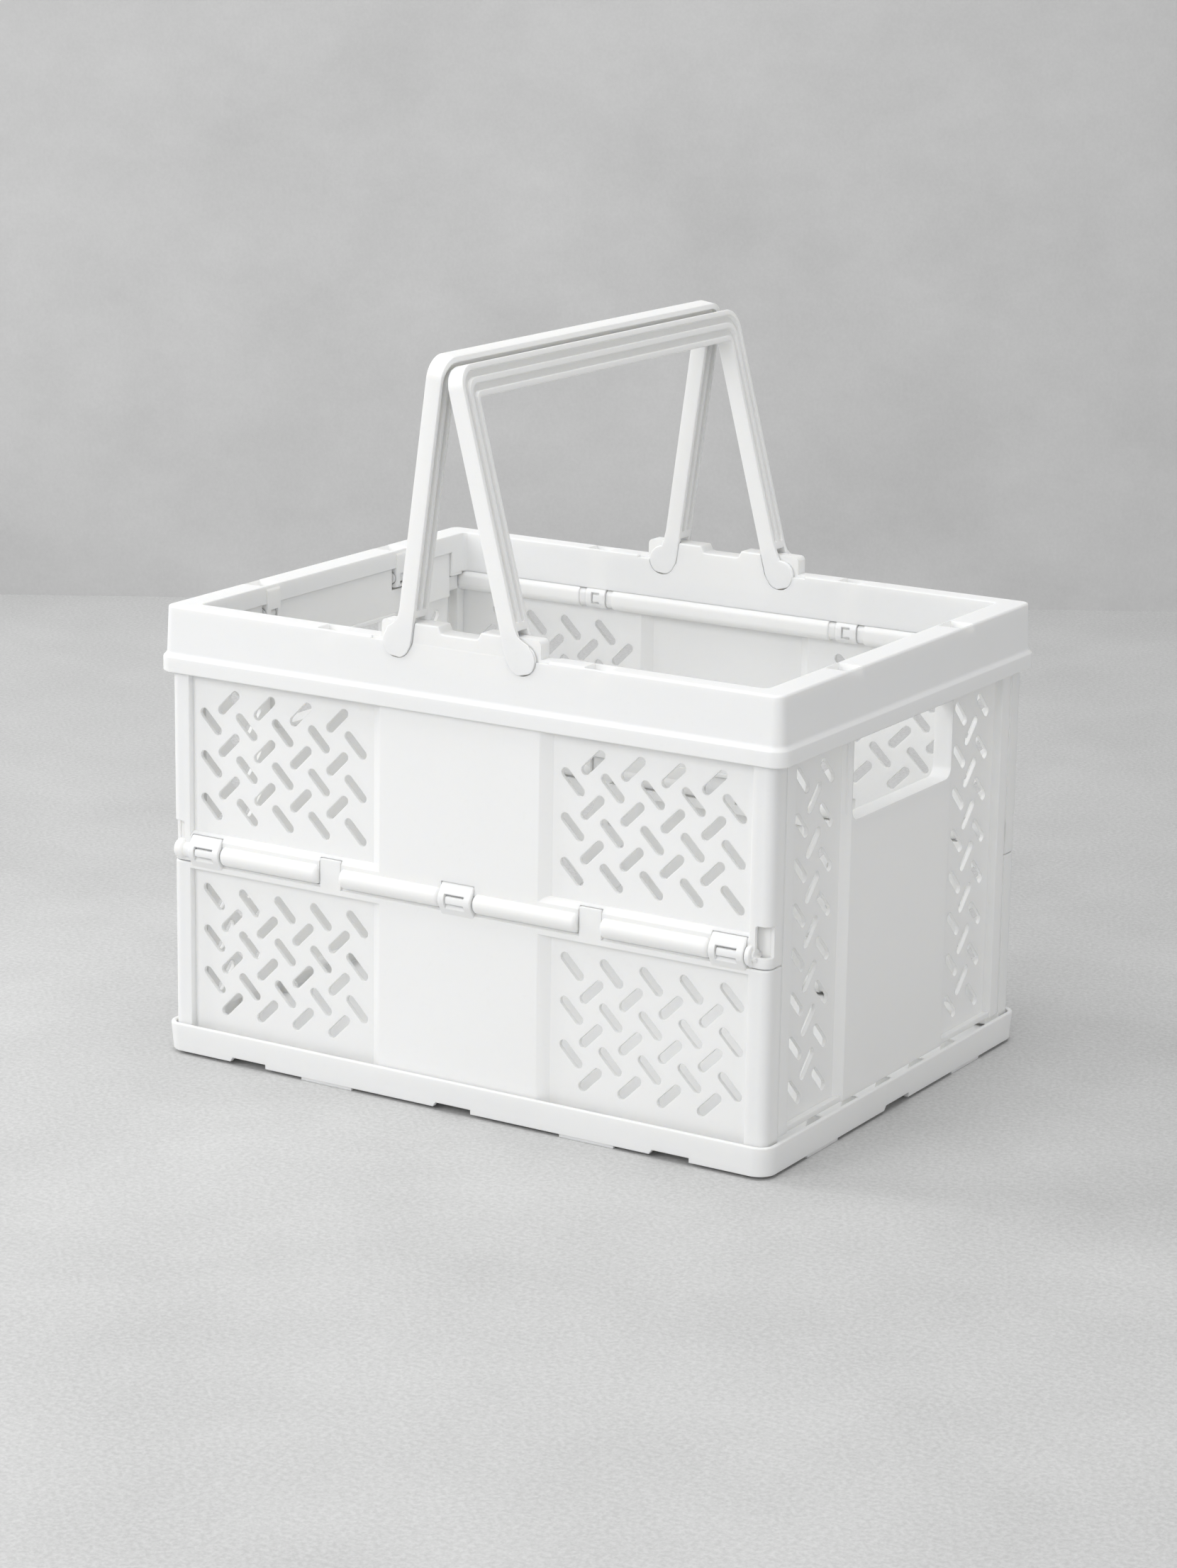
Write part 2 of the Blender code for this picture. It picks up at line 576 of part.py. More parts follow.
def wall_clips(rim, side, mouth_y):
    """Clips under a long side that hold the upper panel's pins, and the notches above them."""
    for place in (-TOP_CLIP_X, TOP_CLIP_X):
        start, end = place - TOP_CLIP_WIDE / 2, place + TOP_CLIP_WIDE / 2
        axis = (side * TOP_AXIS_Y, TOP_AXIS_Z)
        near, far = sorted((side * (mouth_y + CLEAR), side * (TOP_AXIS_Y + TOP_RADIUS)))
        join(rim, rod("clip_ring", 'X', axis, TOP_RADIUS, start, end),
             block("clip_block", (start, near, TOP_AXIS_Z), (end, far, RIM_TOP - RIM_WALL / 2)))
        cut(rim, rod("clip_bore", 'X', axis, PIN_RADIUS + CLEAR, start - OVERRUN, end + OVERRUN))
        near, far = sorted((side * (mouth_y - OVERRUN), side * (mouth_y + FLANGE_WIDE / 2)))
        cut(rim, extrusion("flange_notch", 'Y', [flange_notch(place)], near, far))


def end_clips(rim, side, mouth_x):
    """Clips under a short side that hold the end wall's pins, and the notches above them."""
    for place in (-END_CLIP_Y, END_CLIP_Y):
        start, end = place - END_CLIP_WIDE / 2, place + END_CLIP_WIDE / 2
        axis = (side * END_AXIS_X, END_AXIS_Z)
        near, far = sorted((side * (mouth_x + CLEAR), side * (END_AXIS_X + END_BARREL)))
        join(rim, rod("end_ring", 'Y', axis, END_BARREL, start, end),
             block("end_block", (near, start, END_AXIS_Z), (far, end, RIM_TOP - RIM_WALL / 2)))
        cut(rim, rod("end_bore", 'Y', axis, PIN_RADIUS + CLEAR, start - OVERRUN, end + OVERRUN))
        near, far = sorted((side * (mouth_x - OVERRUN), side * (mouth_x + FLANGE_WIDE / 2)))
        cut(rim, extrusion("flange_notch_end", 'X', [flange_notch(place)], near, far))


def flange_notch(centre):
    """Shallow notch in the rim's top, one flank sloped."""
    left, right = centre - FLANGE_NOTCH_WIDE / 2, centre + FLANGE_NOTCH_WIDE / 2
    floor = RIM_TOP - FLANGE_NOTCH_DEEP
    return [(left, RIM_TOP), (left + FLANGE_NOTCH_SLOPE, floor), (right, floor),
            (right, RIM_TOP + OVERRUN), (left, RIM_TOP + OVERRUN)]


def wall_plan():
    """A long wall seen from above: plain centre, recessed fields, corner posts."""
    slope = math.atan2(WALL_PROUD_Y - WALL_FIELD_Y, CENTRE_BEVEL - CENTRE_FLAT)
    shift = SHEET * math.tan(slope / 2)
    corner = (WALL_HALF_X - WALL_RADIUS, -WALL_PROUD_Y + WALL_RADIUS)

    def arc(radius):
        turns = [(step / ARC_STEPS - 1) * math.pi / 2 for step in range(ARC_STEPS + 1)]
        return [(corner[0] + radius * math.cos(turn), corner[1] + radius * math.sin(turn))
                for turn in turns]

    outer = [(CENTRE_FLAT, -WALL_PROUD_Y), (CENTRE_BEVEL, -WALL_FIELD_Y), (FIELD_END, -WALL_FIELD_Y),
             (FIELD_END, -WALL_PROUD_Y), *arc(WALL_RADIUS), (WALL_HALF_X, -POST_BACK_Y)]
    inner = [(CENTRE_FLAT - shift, -WALL_PROUD_Y + SHEET), (CENTRE_BEVEL - shift, -WALL_FIELD_Y + SHEET),
             (FIELD_END + SHEET, -WALL_FIELD_Y + SHEET), (FIELD_END + SHEET, -WALL_PROUD_Y + SHEET),
             *arc(WALL_RADIUS - SHEET), (WALL_HALF_X - SHEET, -POST_BACK_Y)]
    mirror_outer = [(-x, y) for x, y in reversed(outer)]
    mirror_inner = [(-x, y) for x, y in inner]
    return mirror_outer + outer + inner[::-1] + mirror_inner


def wall_block(name, near, far, low, high):
    """Block as thick as the proud part of a long wall."""
    return block(name, (near, -WALL_PROUD_Y, low), (far, -WALL_FIELD_Y + SHEET, high))


def barrel_lengths(clip, half, end):
    """Ends of the three lengths of a barrel that two gaps part, each a little short of its gap."""
    near, far = clip - half - CLEAR, clip + half + CLEAR
    return (-end, -far), (-near, near), (far, end)


def barrels(wall, name, axis, radius, pin, low, high):
    """Barrel in three lengths along a long edge, with a pin across each clip's gap."""
    half = TOP_CLIP_GAP / 2
    for place in (-TOP_CLIP_X, TOP_CLIP_X):
        cut(wall, block(name + "_gap", (place - half, -WALL_PROUD_Y - OVERRUN, low),
                        (place + half, -POST_BACK_Y, high)))
    for start, end in barrel_lengths(TOP_CLIP_X, half, TOP_BARREL_END):
        join(wall, rod(name, 'X', axis, radius, start, end))
    for place in (-TOP_CLIP_X, TOP_CLIP_X):
        join(wall, rod(name + "_pin", 'X', axis, pin, place - half - OVERRUN, place + half + OVERRUN))


def slots(wall, outlines):
    """Cut the herringbone through a long wall's sheet."""
    cut(wall, extrusion("slots", 'Y', outlines, -WALL_FIELD_Y - OVERRUN, -WALL_FIELD_Y + SHEET + OVERRUN))


def upper_panel(name):
    """Upper half of a long wall, with the mid hinge's barrels."""
    wall = piece(name, extrusion("upper_sheet", 'Z', [wall_plan()], UPPER_UNDER, UPPER_TOP))
    inside = FIELD_END - CLEAR
    beyond = FIELD_END + SHEET / 2
    cut(wall, block("upper_foot", (-inside, -WALL_PROUD_Y - OVERRUN, UPPER_UNDER - OVERRUN),
                    (inside, -WALL_FIELD_Y + SHEET + OVERRUN, MID_Z)))
    join(wall, wall_block("upper_border", -beyond, beyond, MID_Z, UPPER_BORDER_TOP),
         wall_block("upper_head", -beyond, beyond, UPPER_TOP - TOP_BORDER_HIGH, UPPER_TOP))
    for place in (-CLIP_SIDE, 0, CLIP_SIDE):
        half = CLIP_HALF_WIDE + CLEAR
        cut(wall, block("clip_gap", (place - half, -WALL_PROUD_Y - OVERRUN, MID_Z - OVERRUN),
                        (place + half, -WALL_FIELD_Y + SHEET + OVERRUN, CLIP_TOP + CLEAR)))
    for near, far in ((-TAB_FAR, -TAB_NEAR), (TAB_NEAR, TAB_FAR)):
        cut(wall, block("tab_gap", (near, -WALL_PROUD_Y - OVERRUN, MID_Z - OVERRUN),
                        (far, -WALL_FIELD_Y + SHEET + OVERRUN, TAB_TOP + CLEAR)))
    slots(wall, field_slots(UPPER_FIELD_Z, UPPER_TOP - TOP_BORDER_HIGH - UPPER_FIELD_Z, 1))
    axis = (-MID_Y, MID_Z)
    first, last = CLIP_HALF_WIDE + CLEAR, CLIP_SIDE - CLIP_HALF_WIDE - CLEAR
    for side in (-1, 1):
        for start, end in ((first, TAB_NEAR), (TAB_FAR, last)):
            near, far = sorted((side * (start + CLEAR), side * (end - CLEAR)))
            join(wall, rod("mid_barrel", 'X', axis, MID_RADIUS, near, far))
        near, far = sorted((side * (last - OVERRUN), side * PIN_END))
        join(wall, rod("mid_pin_end", 'X', axis, PIN_RADIUS, near, far))
        near, far = sorted((side * LATCH_NEAR_X, side * (WALL_HALF_X + OVERRUN)))
        cut(wall, block("latch_window", (near, -WALL_PROUD_Y - OVERRUN, LATCH_UNDER),
                        (far, -LATCH_BACK_Y, LATCH_TOP)))
    join(wall, rod("mid_pin", 'X', axis, PIN_RADIUS, -first - OVERRUN, first + OVERRUN))
    barrels(wall, "top_barrel", (-TOP_AXIS_Y, TOP_AXIS_Z), TOP_RADIUS, PIN_RADIUS,
            TOP_AXIS_Z - TOP_RADIUS - CLEAR, TOP_AXIS_Z + TOP_RADIUS + OVERRUN)
    return manifold(wall)


def lower_panel(name):
    """Lower half of a long wall, with the mid hinge's clips and tabs."""
    wall = piece(name, extrusion("lower_sheet", 'Z', [wall_plan()], FLOOR_TOP + CLEAR, LOWER_TOP))
    beyond = FIELD_END + SHEET / 2
    join(wall, wall_block("lower_border", -beyond, beyond, LOWER_TOP - LOWER_BORDER, LOWER_TOP))
    slots(wall, field_slots(LOWER_FIELD_Z, LOWER_FIELD_Z - FOOT_AXIS_Z - FOOT_BARREL, -1))
    axis = (-MID_Y, MID_Z)
    root = LOWER_TOP - LOWER_BORDER / 2
    plate_back = -WALL_PROUD_Y + LOWER_BORDER
    for place in (-CLIP_SIDE, 0, CLIP_SIDE):
        start, end = place - CLIP_HALF_WIDE, place + CLIP_HALF_WIDE
        join(wall, rod("clip_arch", 'X', axis, CLIP_RADIUS, start, end),
             block("clip_root", (start, -WALL_PROUD_Y, root), (end, -WALL_FIELD_Y + SHEET, MID_Z)),
             block("clip_plate", (start, -WALL_PROUD_Y, MID_Z), (end, plate_back, CLIP_TOP)))
        cut(wall, rod("clip_bore", 'X', axis, PIN_RADIUS + CLEAR, start - OVERRUN, end + OVERRUN),
            block("clip_window", (place - CLIP_WINDOW_WIDE / 2, -MID_Y - CLIP_RADIUS - OVERRUN,
                                  MID_Z - PIN_RADIUS),
                  (place + CLIP_WINDOW_WIDE / 2, -MID_Y - CLIP_RADIUS + CLIP_WINDOW_DEEP,
                   MID_Z + PIN_RADIUS)))
    for side in (-1, 1):
        near, far = sorted((side * (TAB_NEAR + CLEAR), side * (TAB_FAR - CLEAR)))
        join(wall, block("tab", (near, -WALL_PROUD_Y, root), (far, plate_back, TAB_TOP)))
    barrels(wall, "foot_barrel", (-FOOT_AXIS_Y, FOOT_AXIS_Z), FOOT_BARREL, FOOT_PIN,
            FLOOR_TOP, FOOT_AXIS_Z + FOOT_RING + CLEAR)
    return manifold(wall)


def end_plan():
    """An end wall seen from above: plain centre, recessed strips, side flanges."""
    slope = math.atan2(END_PROUD_X - END_FIELD_X, END_BEVEL - END_CENTRE)
    shift = SHEET * math.tan(slope / 2)
    outer = [(END_PROUD_X, END_CENTRE), (END_FIELD_X, END_BEVEL), (END_FIELD_X, END_FLANGE),
             (END_PROUD_X, END_FLANGE), (END_PROUD_X, END_HALF_Y)]
    back_x, back_field = END_PROUD_X - SHEET, END_FIELD_X - SHEET
    inner = [(back_x, END_CENTRE - shift), (back_field, END_BEVEL - shift), (back_field, END_FLANGE + SHEET),
             (back_x, END_FLANGE + SHEET), (back_x, END_HALF_Y)]
    return ([(x, -y) for x, y in reversed(outer)] + outer
            + inner[::-1] + [(x, -y) for x, y in inner])


def hand_outline(grow):
    """Hand hole with round lower corners, grown by the lip's thickness."""
    half, radius = HAND_HALF + grow, HAND_RADIUS + grow
    low, high = HAND_UNDER - grow, HAND_TOP + grow
    points = [(half, high), (-half, high)]
    for side, quarter in ((-1, 2), (1, 3)):
        for step in range(ARC_STEPS + 1):
            turn = (quarter + step / ARC_STEPS) * math.pi / 2
            points.append((side * (half - radius) + radius * math.cos(turn),
                           low + radius + radius * math.sin(turn)))
    return points


def strip_slots(side):
    """Staggered columns of slots in one strip of an end wall."""
    outlines = []
    spread = copies((END_FLANGE - END_BEVEL) / 2, END_SLOT_STEP)
    for column in range(-spread, spread + 1):
        rising = column % 2 == 0
        angle = math.pi / 4 if rising else -math.pi / 4
        first = END_SLOT_LOW_Z + (HALF_ROW * SLOT_PITCH if rising else 0)
        for row in range(1 + copies(END_PROUD_TOP - SHEET - first, SLOT_PITCH)):
            centre = (side * END_SLOT_ROW_Y + column * END_SLOT_STEP, first + row * SLOT_PITCH)
            outlines.append(slot_outline(centre, angle))
    return outlines


def end_wall(name):
    """End wall that hangs from the rim on two pins, with a lipped hand hole."""
    wall = piece(name, extrusion("end_sheet", 'Z', [end_plan()], END_UNDER, END_PROUD_TOP))
    back = END_FIELD_X - SHEET
    join(wall, block("end_head", (back, -END_HALF_Y, END_PROUD_TOP - SHEET),
                     (END_PROUD_X, END_HALF_Y, END_PROUD_TOP)),
         block("end_neck", (back, -END_BARREL_HALF, END_PROUD_TOP - SHEET),
               (END_FIELD_X, END_BARREL_HALF, END_AXIS_Z)),
         block("end_border", (back, -END_FLANGE - SHEET / 2, END_UNDER),
               (END_PROUD_X - SHEET / 2, END_FLANGE + SHEET / 2, END_BORDER_TOP)))
    lip = extrusion("hand_lip", 'X', [hand_outline(HAND_LIP_WALL)], END_PROUD_X - HAND_LIP_DEEP,
                    END_PROUD_X - SHEET * 3 / 4)
    hole = extrusion("hand_hole", 'X', [hand_outline(0)], END_PROUD_X - HAND_LIP_DEEP - OVERRUN,
                     END_PROUD_X + OVERRUN)
    cut(join(wall, lip), hole)
    outlines = strip_slots(-1) + strip_slots(1)
    cut(wall, extrusion("end_slots", 'X', outlines, back - OVERRUN, END_FIELD_X + OVERRUN))
    half = END_CLIP_GAP / 2
    for place in (-END_CLIP_Y, END_CLIP_Y):
        cut(wall, block("end_clip_gap", (END_AXIS_X - END_BARREL - OVERRUN, place - half,
                                         END_AXIS_Z - END_BARREL - 2 * RUN_GAP),
                        (END_PROUD_X, place + half, END_AXIS_Z + END_BARREL + OVERRUN)))
    axis = (END_AXIS_X, END_AXIS_Z)
    for start, end in barrel_lengths(END_CLIP_Y, half, END_BARREL_HALF):
        join(wall, rod("end_barrel", 'Y', axis, END_BARREL, start, end))
    for place in (-END_CLIP_Y, END_CLIP_Y):
        join(wall, rod("end_pin", 'Y', axis, PIN_RADIUS, place - half - OVERRUN, place + half + OVERRUN))
    return manifold(wall)


def bail_line(share, low):
    """U that follows the bail, at a share of the way from its outer to its inner face."""
    half = HANDLE_OUTER_Y + share * (HANDLE_INNER_Y - HANDLE_OUTER_Y)
    top = HANDLE_REACH - share * GRIP_HIGH
    radius = HANDLE_OUTER_RADIUS + share * (HANDLE_INNER_RADIUS - HANDLE_OUTER_RADIUS)
    points = [(half, low)]
    for side, quarter in ((1, 0), (-1, 1)):
        for step in range(ARC_STEPS + 1):
            turn = (quarter + step / ARC_STEPS) * math.pi / 2
            points.append((side * (half - radius) + radius * math.cos(turn),
                           top - radius + radius * math.sin(turn)))
    points.append((-half, low))
    return points


def foot_outline():
    """Round foot about the pivot that runs up into the leg."""
    inward = HANDLE_OFFSET + HANDLE_DEEP / 2
    outward = HANDLE_OFFSET - HANDLE_DEEP / 2
    top = FORK_HIGH + SHEET
    last = math.acos(outward / FOOT_RADIUS) - 2 * math.pi
    points = [(outward, top), (inward, top), (inward, 0)]
    steps = 3 * ARC_STEPS
    for step in range(steps + 1):
        turn = last * step / steps
        points.append((FOOT_RADIUS * math.cos(turn), FOOT_RADIUS * math.sin(turn)))
    return points


def handle(name):
    """U-shaped bail; its pivot is at the origin and +X points to the basket's middle."""
    near, far = HANDLE_OFFSET - HANDLE_DEEP / 2, HANDLE_OFFSET + HANDLE_DEEP / 2
    outline = bail_line(0, FORK_HIGH) + bail_line(1, FORK_HIGH)[::-1]
    bail = piece(name, extrusion("bail", 'X', [outline], near, far))
    deep = (HANDLE_DEEP - WEB_THICK) / 2
    for first, second in CHANNEL_SHARES:
        channel = bail_line(first, CHANNEL_END) + bail_line(second, CHANNEL_END)[::-1]
        cut(bail, extrusion("channel", 'X', [channel], near - OVERRUN, near + deep),
            extrusion("channel", 'X', [channel], far - deep, far + OVERRUN))
    core = (HANDLE_OUTER_Y + HANDLE_INNER_Y) / 2
    face, back = core + EAR_CORE / 2 + CLEAR, core - EAR_CORE / 2 - CLEAR
    for side in (-1, 1):
        for first, second, stud in ((face, HANDLE_OUTER_Y, -STUD_LONG), (HANDLE_INNER_Y, back, STUD_LONG)):
            start, end = sorted((side * first, side * second))
            join(bail, extrusion("foot", 'Y', [foot_outline()], start, end))
            root = first if stud < 0 else second
            start, end = sorted((side * (root - stud / 3), side * (root + stud)))
            join(bail, rod("stud", 'Y', (0, 0), STUD_RADIUS, start, end))
    return bail


def hang(part, name, place, turn=0.0, lean=0.0):
    """Parent a moving part to an empty on its joint's axis."""
    pivot = bpy.data.objects.new(name, None)
    PARTS.objects.link(pivot)
    pivot.location = place
    part.parent = pivot
    pivot.rotation_euler = (0, lean, turn)


def build():
    """Make every part and set it in its place."""
    base_tray()
    top_rim()
    for name, turn in (("front", 0), ("back", math.pi)):
        lower_panel(name + "_lower").rotation_euler.z = turn
        upper_panel(name + "_upper").rotation_euler.z = turn
    for name, turn in (("right", 0), ("left", math.pi)):
        side = math.cos(turn)
        wall = end_wall("end_panel_" + name)
        wall.location = (-END_AXIS_X, 0, -END_AXIS_Z)
        hang(wall, "end_axis_" + name, (side * END_AXIS_X, 0, END_AXIS_Z), turn)
    for name, turn, lean in (("left", 0, LEAN_LEFT), ("right", math.pi, LEAN_RIGHT)):
        bail = handle("handle_" + name)
        hang(bail, "handle_axis_" + name, (-math.cos(turn) * PIVOT_X, 0, PIVOT_Z), turn, lean)
    bpy.context.view_layer.update()


build()
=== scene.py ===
"""Foldable basket in white moulded plastic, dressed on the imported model.

Sizes of the basket are in millimetres, and MM turns them into metres. Sizes of the stage, the
camera and the lamps are in metres.
"""
import logging
import math
from dataclasses import dataclass, field
from enum import Enum
from typing import Optional, Union

import bmesh
import bpy
from mathutils import Euler, Matrix, Vector


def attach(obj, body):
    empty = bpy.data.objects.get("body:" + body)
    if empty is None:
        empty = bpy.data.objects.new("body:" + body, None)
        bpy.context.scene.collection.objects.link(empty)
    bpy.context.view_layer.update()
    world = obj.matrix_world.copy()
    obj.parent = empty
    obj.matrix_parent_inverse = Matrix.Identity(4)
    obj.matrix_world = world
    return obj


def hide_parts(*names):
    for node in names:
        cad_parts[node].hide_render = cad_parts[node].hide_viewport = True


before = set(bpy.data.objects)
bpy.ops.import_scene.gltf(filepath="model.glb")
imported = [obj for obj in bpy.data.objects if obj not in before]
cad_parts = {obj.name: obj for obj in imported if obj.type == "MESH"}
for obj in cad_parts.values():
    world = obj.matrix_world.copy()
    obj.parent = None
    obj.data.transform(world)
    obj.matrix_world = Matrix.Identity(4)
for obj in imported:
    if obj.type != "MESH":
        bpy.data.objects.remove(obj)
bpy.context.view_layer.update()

LOG = logging.getLogger("basket")
MM = 0.001
OVER = 3.0                   # how far a cutter reaches past what it cuts
CLEAR = 0.3                  # gap round a pin in its ring
SMOOTH_ANGLE = math.radians(32)
NORMAL_WEIGHT = 80
ROUND_SIDES = 40
MITRE_LIMIT = 0.4
SIDES = (-1, 1)
AS_BUILT = Matrix.Identity(4)
HALF_TURN = Matrix.Rotation(math.pi, 4, "Z")

Pair = tuple[float, float]
Triple = tuple[float, float, float]
Rows = tuple[Pair, ...]
Flat = list[Pair]
Ring = list[Vector]
Noise = tuple[float, float, Triple, float]     # scale, detail, stretch, roughness

# Places that more than one piece takes its size from.
LONG_CLIPS = (-75, 75)       # along X
END_CLIPS = (-57.5, 57.5)    # along Y
LOW_AXIS = (121.0, 11.7)     # low hinge of a long wall, as (y, z)
TOP_AXIS = (121.0, 202.8)
END_AXIS = (162.5, 214.0)    # hinge of an end wall, as (x, z)
TOP_CASE = (5.4, 5.8, 4.2)   # barrel of the top hinge: half sizes and radius
LOW_PIN, PIN = 2.4, 3.2
PIVOT = (35.0, 228.0)        # pivot of a bail, as (x, z)
LEANS = (7.5, 14.93)         # of the left and the right bail at rest, in degrees
FOOT = 7.6
SLOT_TURN = 45


class Axis(Enum):
    """Direction that an outline is drawn out along."""

    X = "x"
    Y = "y"
    Z = "z"

    def point(self, a: float, b: float, depth: float) -> Vector:
        """Point in space of flat point (a, b) at a depth along the axis.

        Args:
            a: first place across the axis.
            b: second place across the axis.
            depth: place along the axis.

        Returns:
            The point in space.
        """
        if self is Axis.X:
            return Vector((depth, a, b))
        if self is Axis.Y:
            return Vector((a, depth, b))
        return Vector((a, b, depth))


class Body(Enum):
    """CAD body that a piece rides on."""

    BASKET = "basket"
    END_RIGHT = "end_wall_right"
    END_LEFT = "end_wall_left"
    BAIL_LEFT = "bail_left"
    BAIL_RIGHT = "bail_right"


def arc(centre: Pair, radius: float, first: float, last: float, steps: int) -> Flat:
    """Points along an arc.

    Args:
        centre: middle of the arc.
        radius: its radius.
        first: angle of the first point, in degrees.
        last: angle of the last point, in degrees.
        steps: number of chords.

    Returns:
        steps + 1 points.
    """
    turns = [math.radians(first + (last - first) * step / steps) for step in range(steps + 1)]
    return [(centre[0] + radius * math.cos(turn), centre[1] + radius * math.sin(turn))
            for turn in turns]


def rounded(half_a: float, half_b: float, radius: float, steps: int = 8) -> Flat:
    """Rounded rectangle round the origin, anticlockwise.

    Args:
        half_a: half its width.
        half_b: half its height.
        radius: radius of its corners.
        steps: number of chords in a corner.

    Returns:
        Four arcs, one after the other.
    """
    a, b = half_a - radius, half_b - radius
    corners = (((a, b), 0), ((-a, b), 90), ((-a, -b), 180), ((a, -b), 270))
    return [point for centre, first in corners
            for point in arc(centre, radius, first, first + 90, steps)]


def levels(half: Pair, rows: Flat, radius: float, least: Optional[float] = None,
           steps: int = 12) -> list[Ring]:
    """Levels of a rounded box.

    Args:
        half: half sizes where nothing is drawn in.
        rows: height of each level and how far it is drawn in.
        radius: radius of the corners where nothing is drawn in.
        least: their smallest radius, or none where it is the same on all levels.
        steps: number of chords in a corner.

    Returns:
        A ring for each level.
    """
    rings = []
    for z, draw in rows:
        corner = radius if least is None else max(radius - draw, least)
        outline = rounded(half[0] - draw, half[1] - draw, corner, steps)
        rings.append([Vector((x, y, z)) for x, y in outline])
    return rings


def rectangle(low: Pair, high: Pair, radius: float = 0.0) -> Flat:
    """Rectangle between two corners, with round corners if a radius is given.

    Args:
        low: corner with the smaller places.
        high: corner with the larger places.
        radius: radius of its corners, 0 for plain ones.

    Returns:
        Its points, anticlockwise.
    """
    middle = ((low[0] + high[0]) / 2, (low[1] + high[1]) / 2)
    half_a, half_b = (high[0] - low[0]) / 2, (high[1] - low[1]) / 2
    if radius <= 0:
        return [low, (high[0], low[1]), high, (low[0], high[1])]
    return [(middle[0] + a, middle[1] + b) for a, b in rounded(half_a, half_b, radius, 3)]


def turned(points: Flat, angle: float, centre: Pair) -> Flat:
    """Turn flat points by an angle in degrees, then shift them to a centre."""
    c, s = math.cos(math.radians(angle)), math.sin(math.radians(angle))
    return [(centre[0] + a * c - b * s, centre[1] + a * s + b * c) for a, b in points]


def shifted(rows: Rows, centre: Pair) -> Flat:
    """Places given from a centre, as flat points."""
    return [(centre[0] + a, centre[1] + b) for a, b in rows]


def inset(points: Flat, distance: float) -> Flat:
    """Draw a closed outline in by a distance.

    Args:
        points: outline, either way round.
        distance: how far each side moves inward.

    Returns:
        As many points as came in.
    """
    ahead, behind = points[1:] + points[:1], points[-1:] + points[:-1]
    area = sum(here[0] * after[1] - after[0] * here[1] for here, after in zip(points, ahead))
    side = 1 if area > 0 else -1
    result = []
    for before, here, after in zip(behind, points, ahead):
        one = Vector((here[0] - before[0], here[1] - before[1])).normalized()
        two = Vector((after[0] - here[0], after[1] - here[1])).normalized()
        normal_one, normal_two = Vector((-one.y, one.x)) * side, Vector((-two.y, two.x)) * side
        spread = max(MITRE_LIMIT, 1 + normal_one.dot(normal_two))
        shift = (normal_one + normal_two) * (distance / spread)
        result.append((here[0] + shift.x, here[1] + shift.y))
    return result


class Solid:
    """Closed shell, or several that stand apart, in the basket's frame."""

    def __init__(self) -> None:
        """Start with no shell."""
        self.bm = bmesh.new()

    def skin(self, rings: list[Ring]) -> "Solid":
        """Add a shell through rings of points, closed by a cap at each end.

        Args:
            rings: rings with as many points each, from one end to the other.

        Returns:
            This solid.
        """
        rows = [[self.bm.verts.new(point * MM) for point in ring] for ring in rings]
        for lower, upper in zip(rows, rows[1:]):
            for index in range(len(lower)):
                after = (index + 1) % len(lower)
                self.bm.faces.new((lower[index], lower[after], upper[after], upper[index]))
        self.bm.faces.new(rows[0][::-1])
        self.bm.faces.new(rows[-1])
        return self

    def prism(self, outline: Flat, axis: Axis, low: float, high: float, edge: float = 0.0,
              steps: int = 2) -> "Solid":
        """Add an outline drawn out along an axis, its two ends rounded if an edge is given.

        Args:
            outline: outline across the axis.
            axis: direction to draw it out along.
            low: where it starts.
            high: where it ends.
            edge: radius of the rounding at both ends.
            steps: number of chords in the rounding.

        Returns:
            This solid.
        """
        low, high = sorted((low, high))
        if edge <= 0:
            levels = [(0.0, low), (0.0, high)]
        else:
            turns = [math.radians(90 * step / steps) for step in range(steps + 1)]
            levels = [(edge * (1 - math.sin(turn)), edge * (1 - math.cos(turn))) for turn in turns]
            levels = ([(draw, low + deep) for draw, deep in levels]
                      + [(draw, high - deep) for draw, deep in reversed(levels)])
        return self.skin([[axis.point(a, b, depth)
                           for a, b in (inset(outline, draw) if draw else outline)]
                          for draw, depth in levels])

    def rod(self, axis: Axis, centre: Pair, radius: float, start: float, end: float,
            edge: float = 0.0) -> "Solid":
        """Add a round bar."""
        outline = arc(centre, radius, 0, 360 - 360 / ROUND_SIDES, ROUND_SIDES - 1)
        return self.prism(outline, axis, start, end, edge, 4)

    def block(self, low: Triple, high: Triple, edge: float = 0.0) -> "Solid":
        """Add a box between two corners."""
        low, high = tuple(map(min, low, high)), tuple(map(max, low, high))
        return self.prism(rectangle(low[:2], high[:2]), Axis.Z, low[2], high[2], edge)

    def mesh(self, name: str) -> bpy.types.Mesh:
        """Turn the shells into a mesh and let go of them.

        Args:
            name: name of the mesh.

        Returns:
            The mesh, in metres.
        """
        bmesh.ops.recalc_face_normals(self.bm, faces=self.bm.faces)
        mesh = bpy.data.meshes.new(name)
        self.bm.to_mesh(mesh)
        self.bm.free()
        return mesh


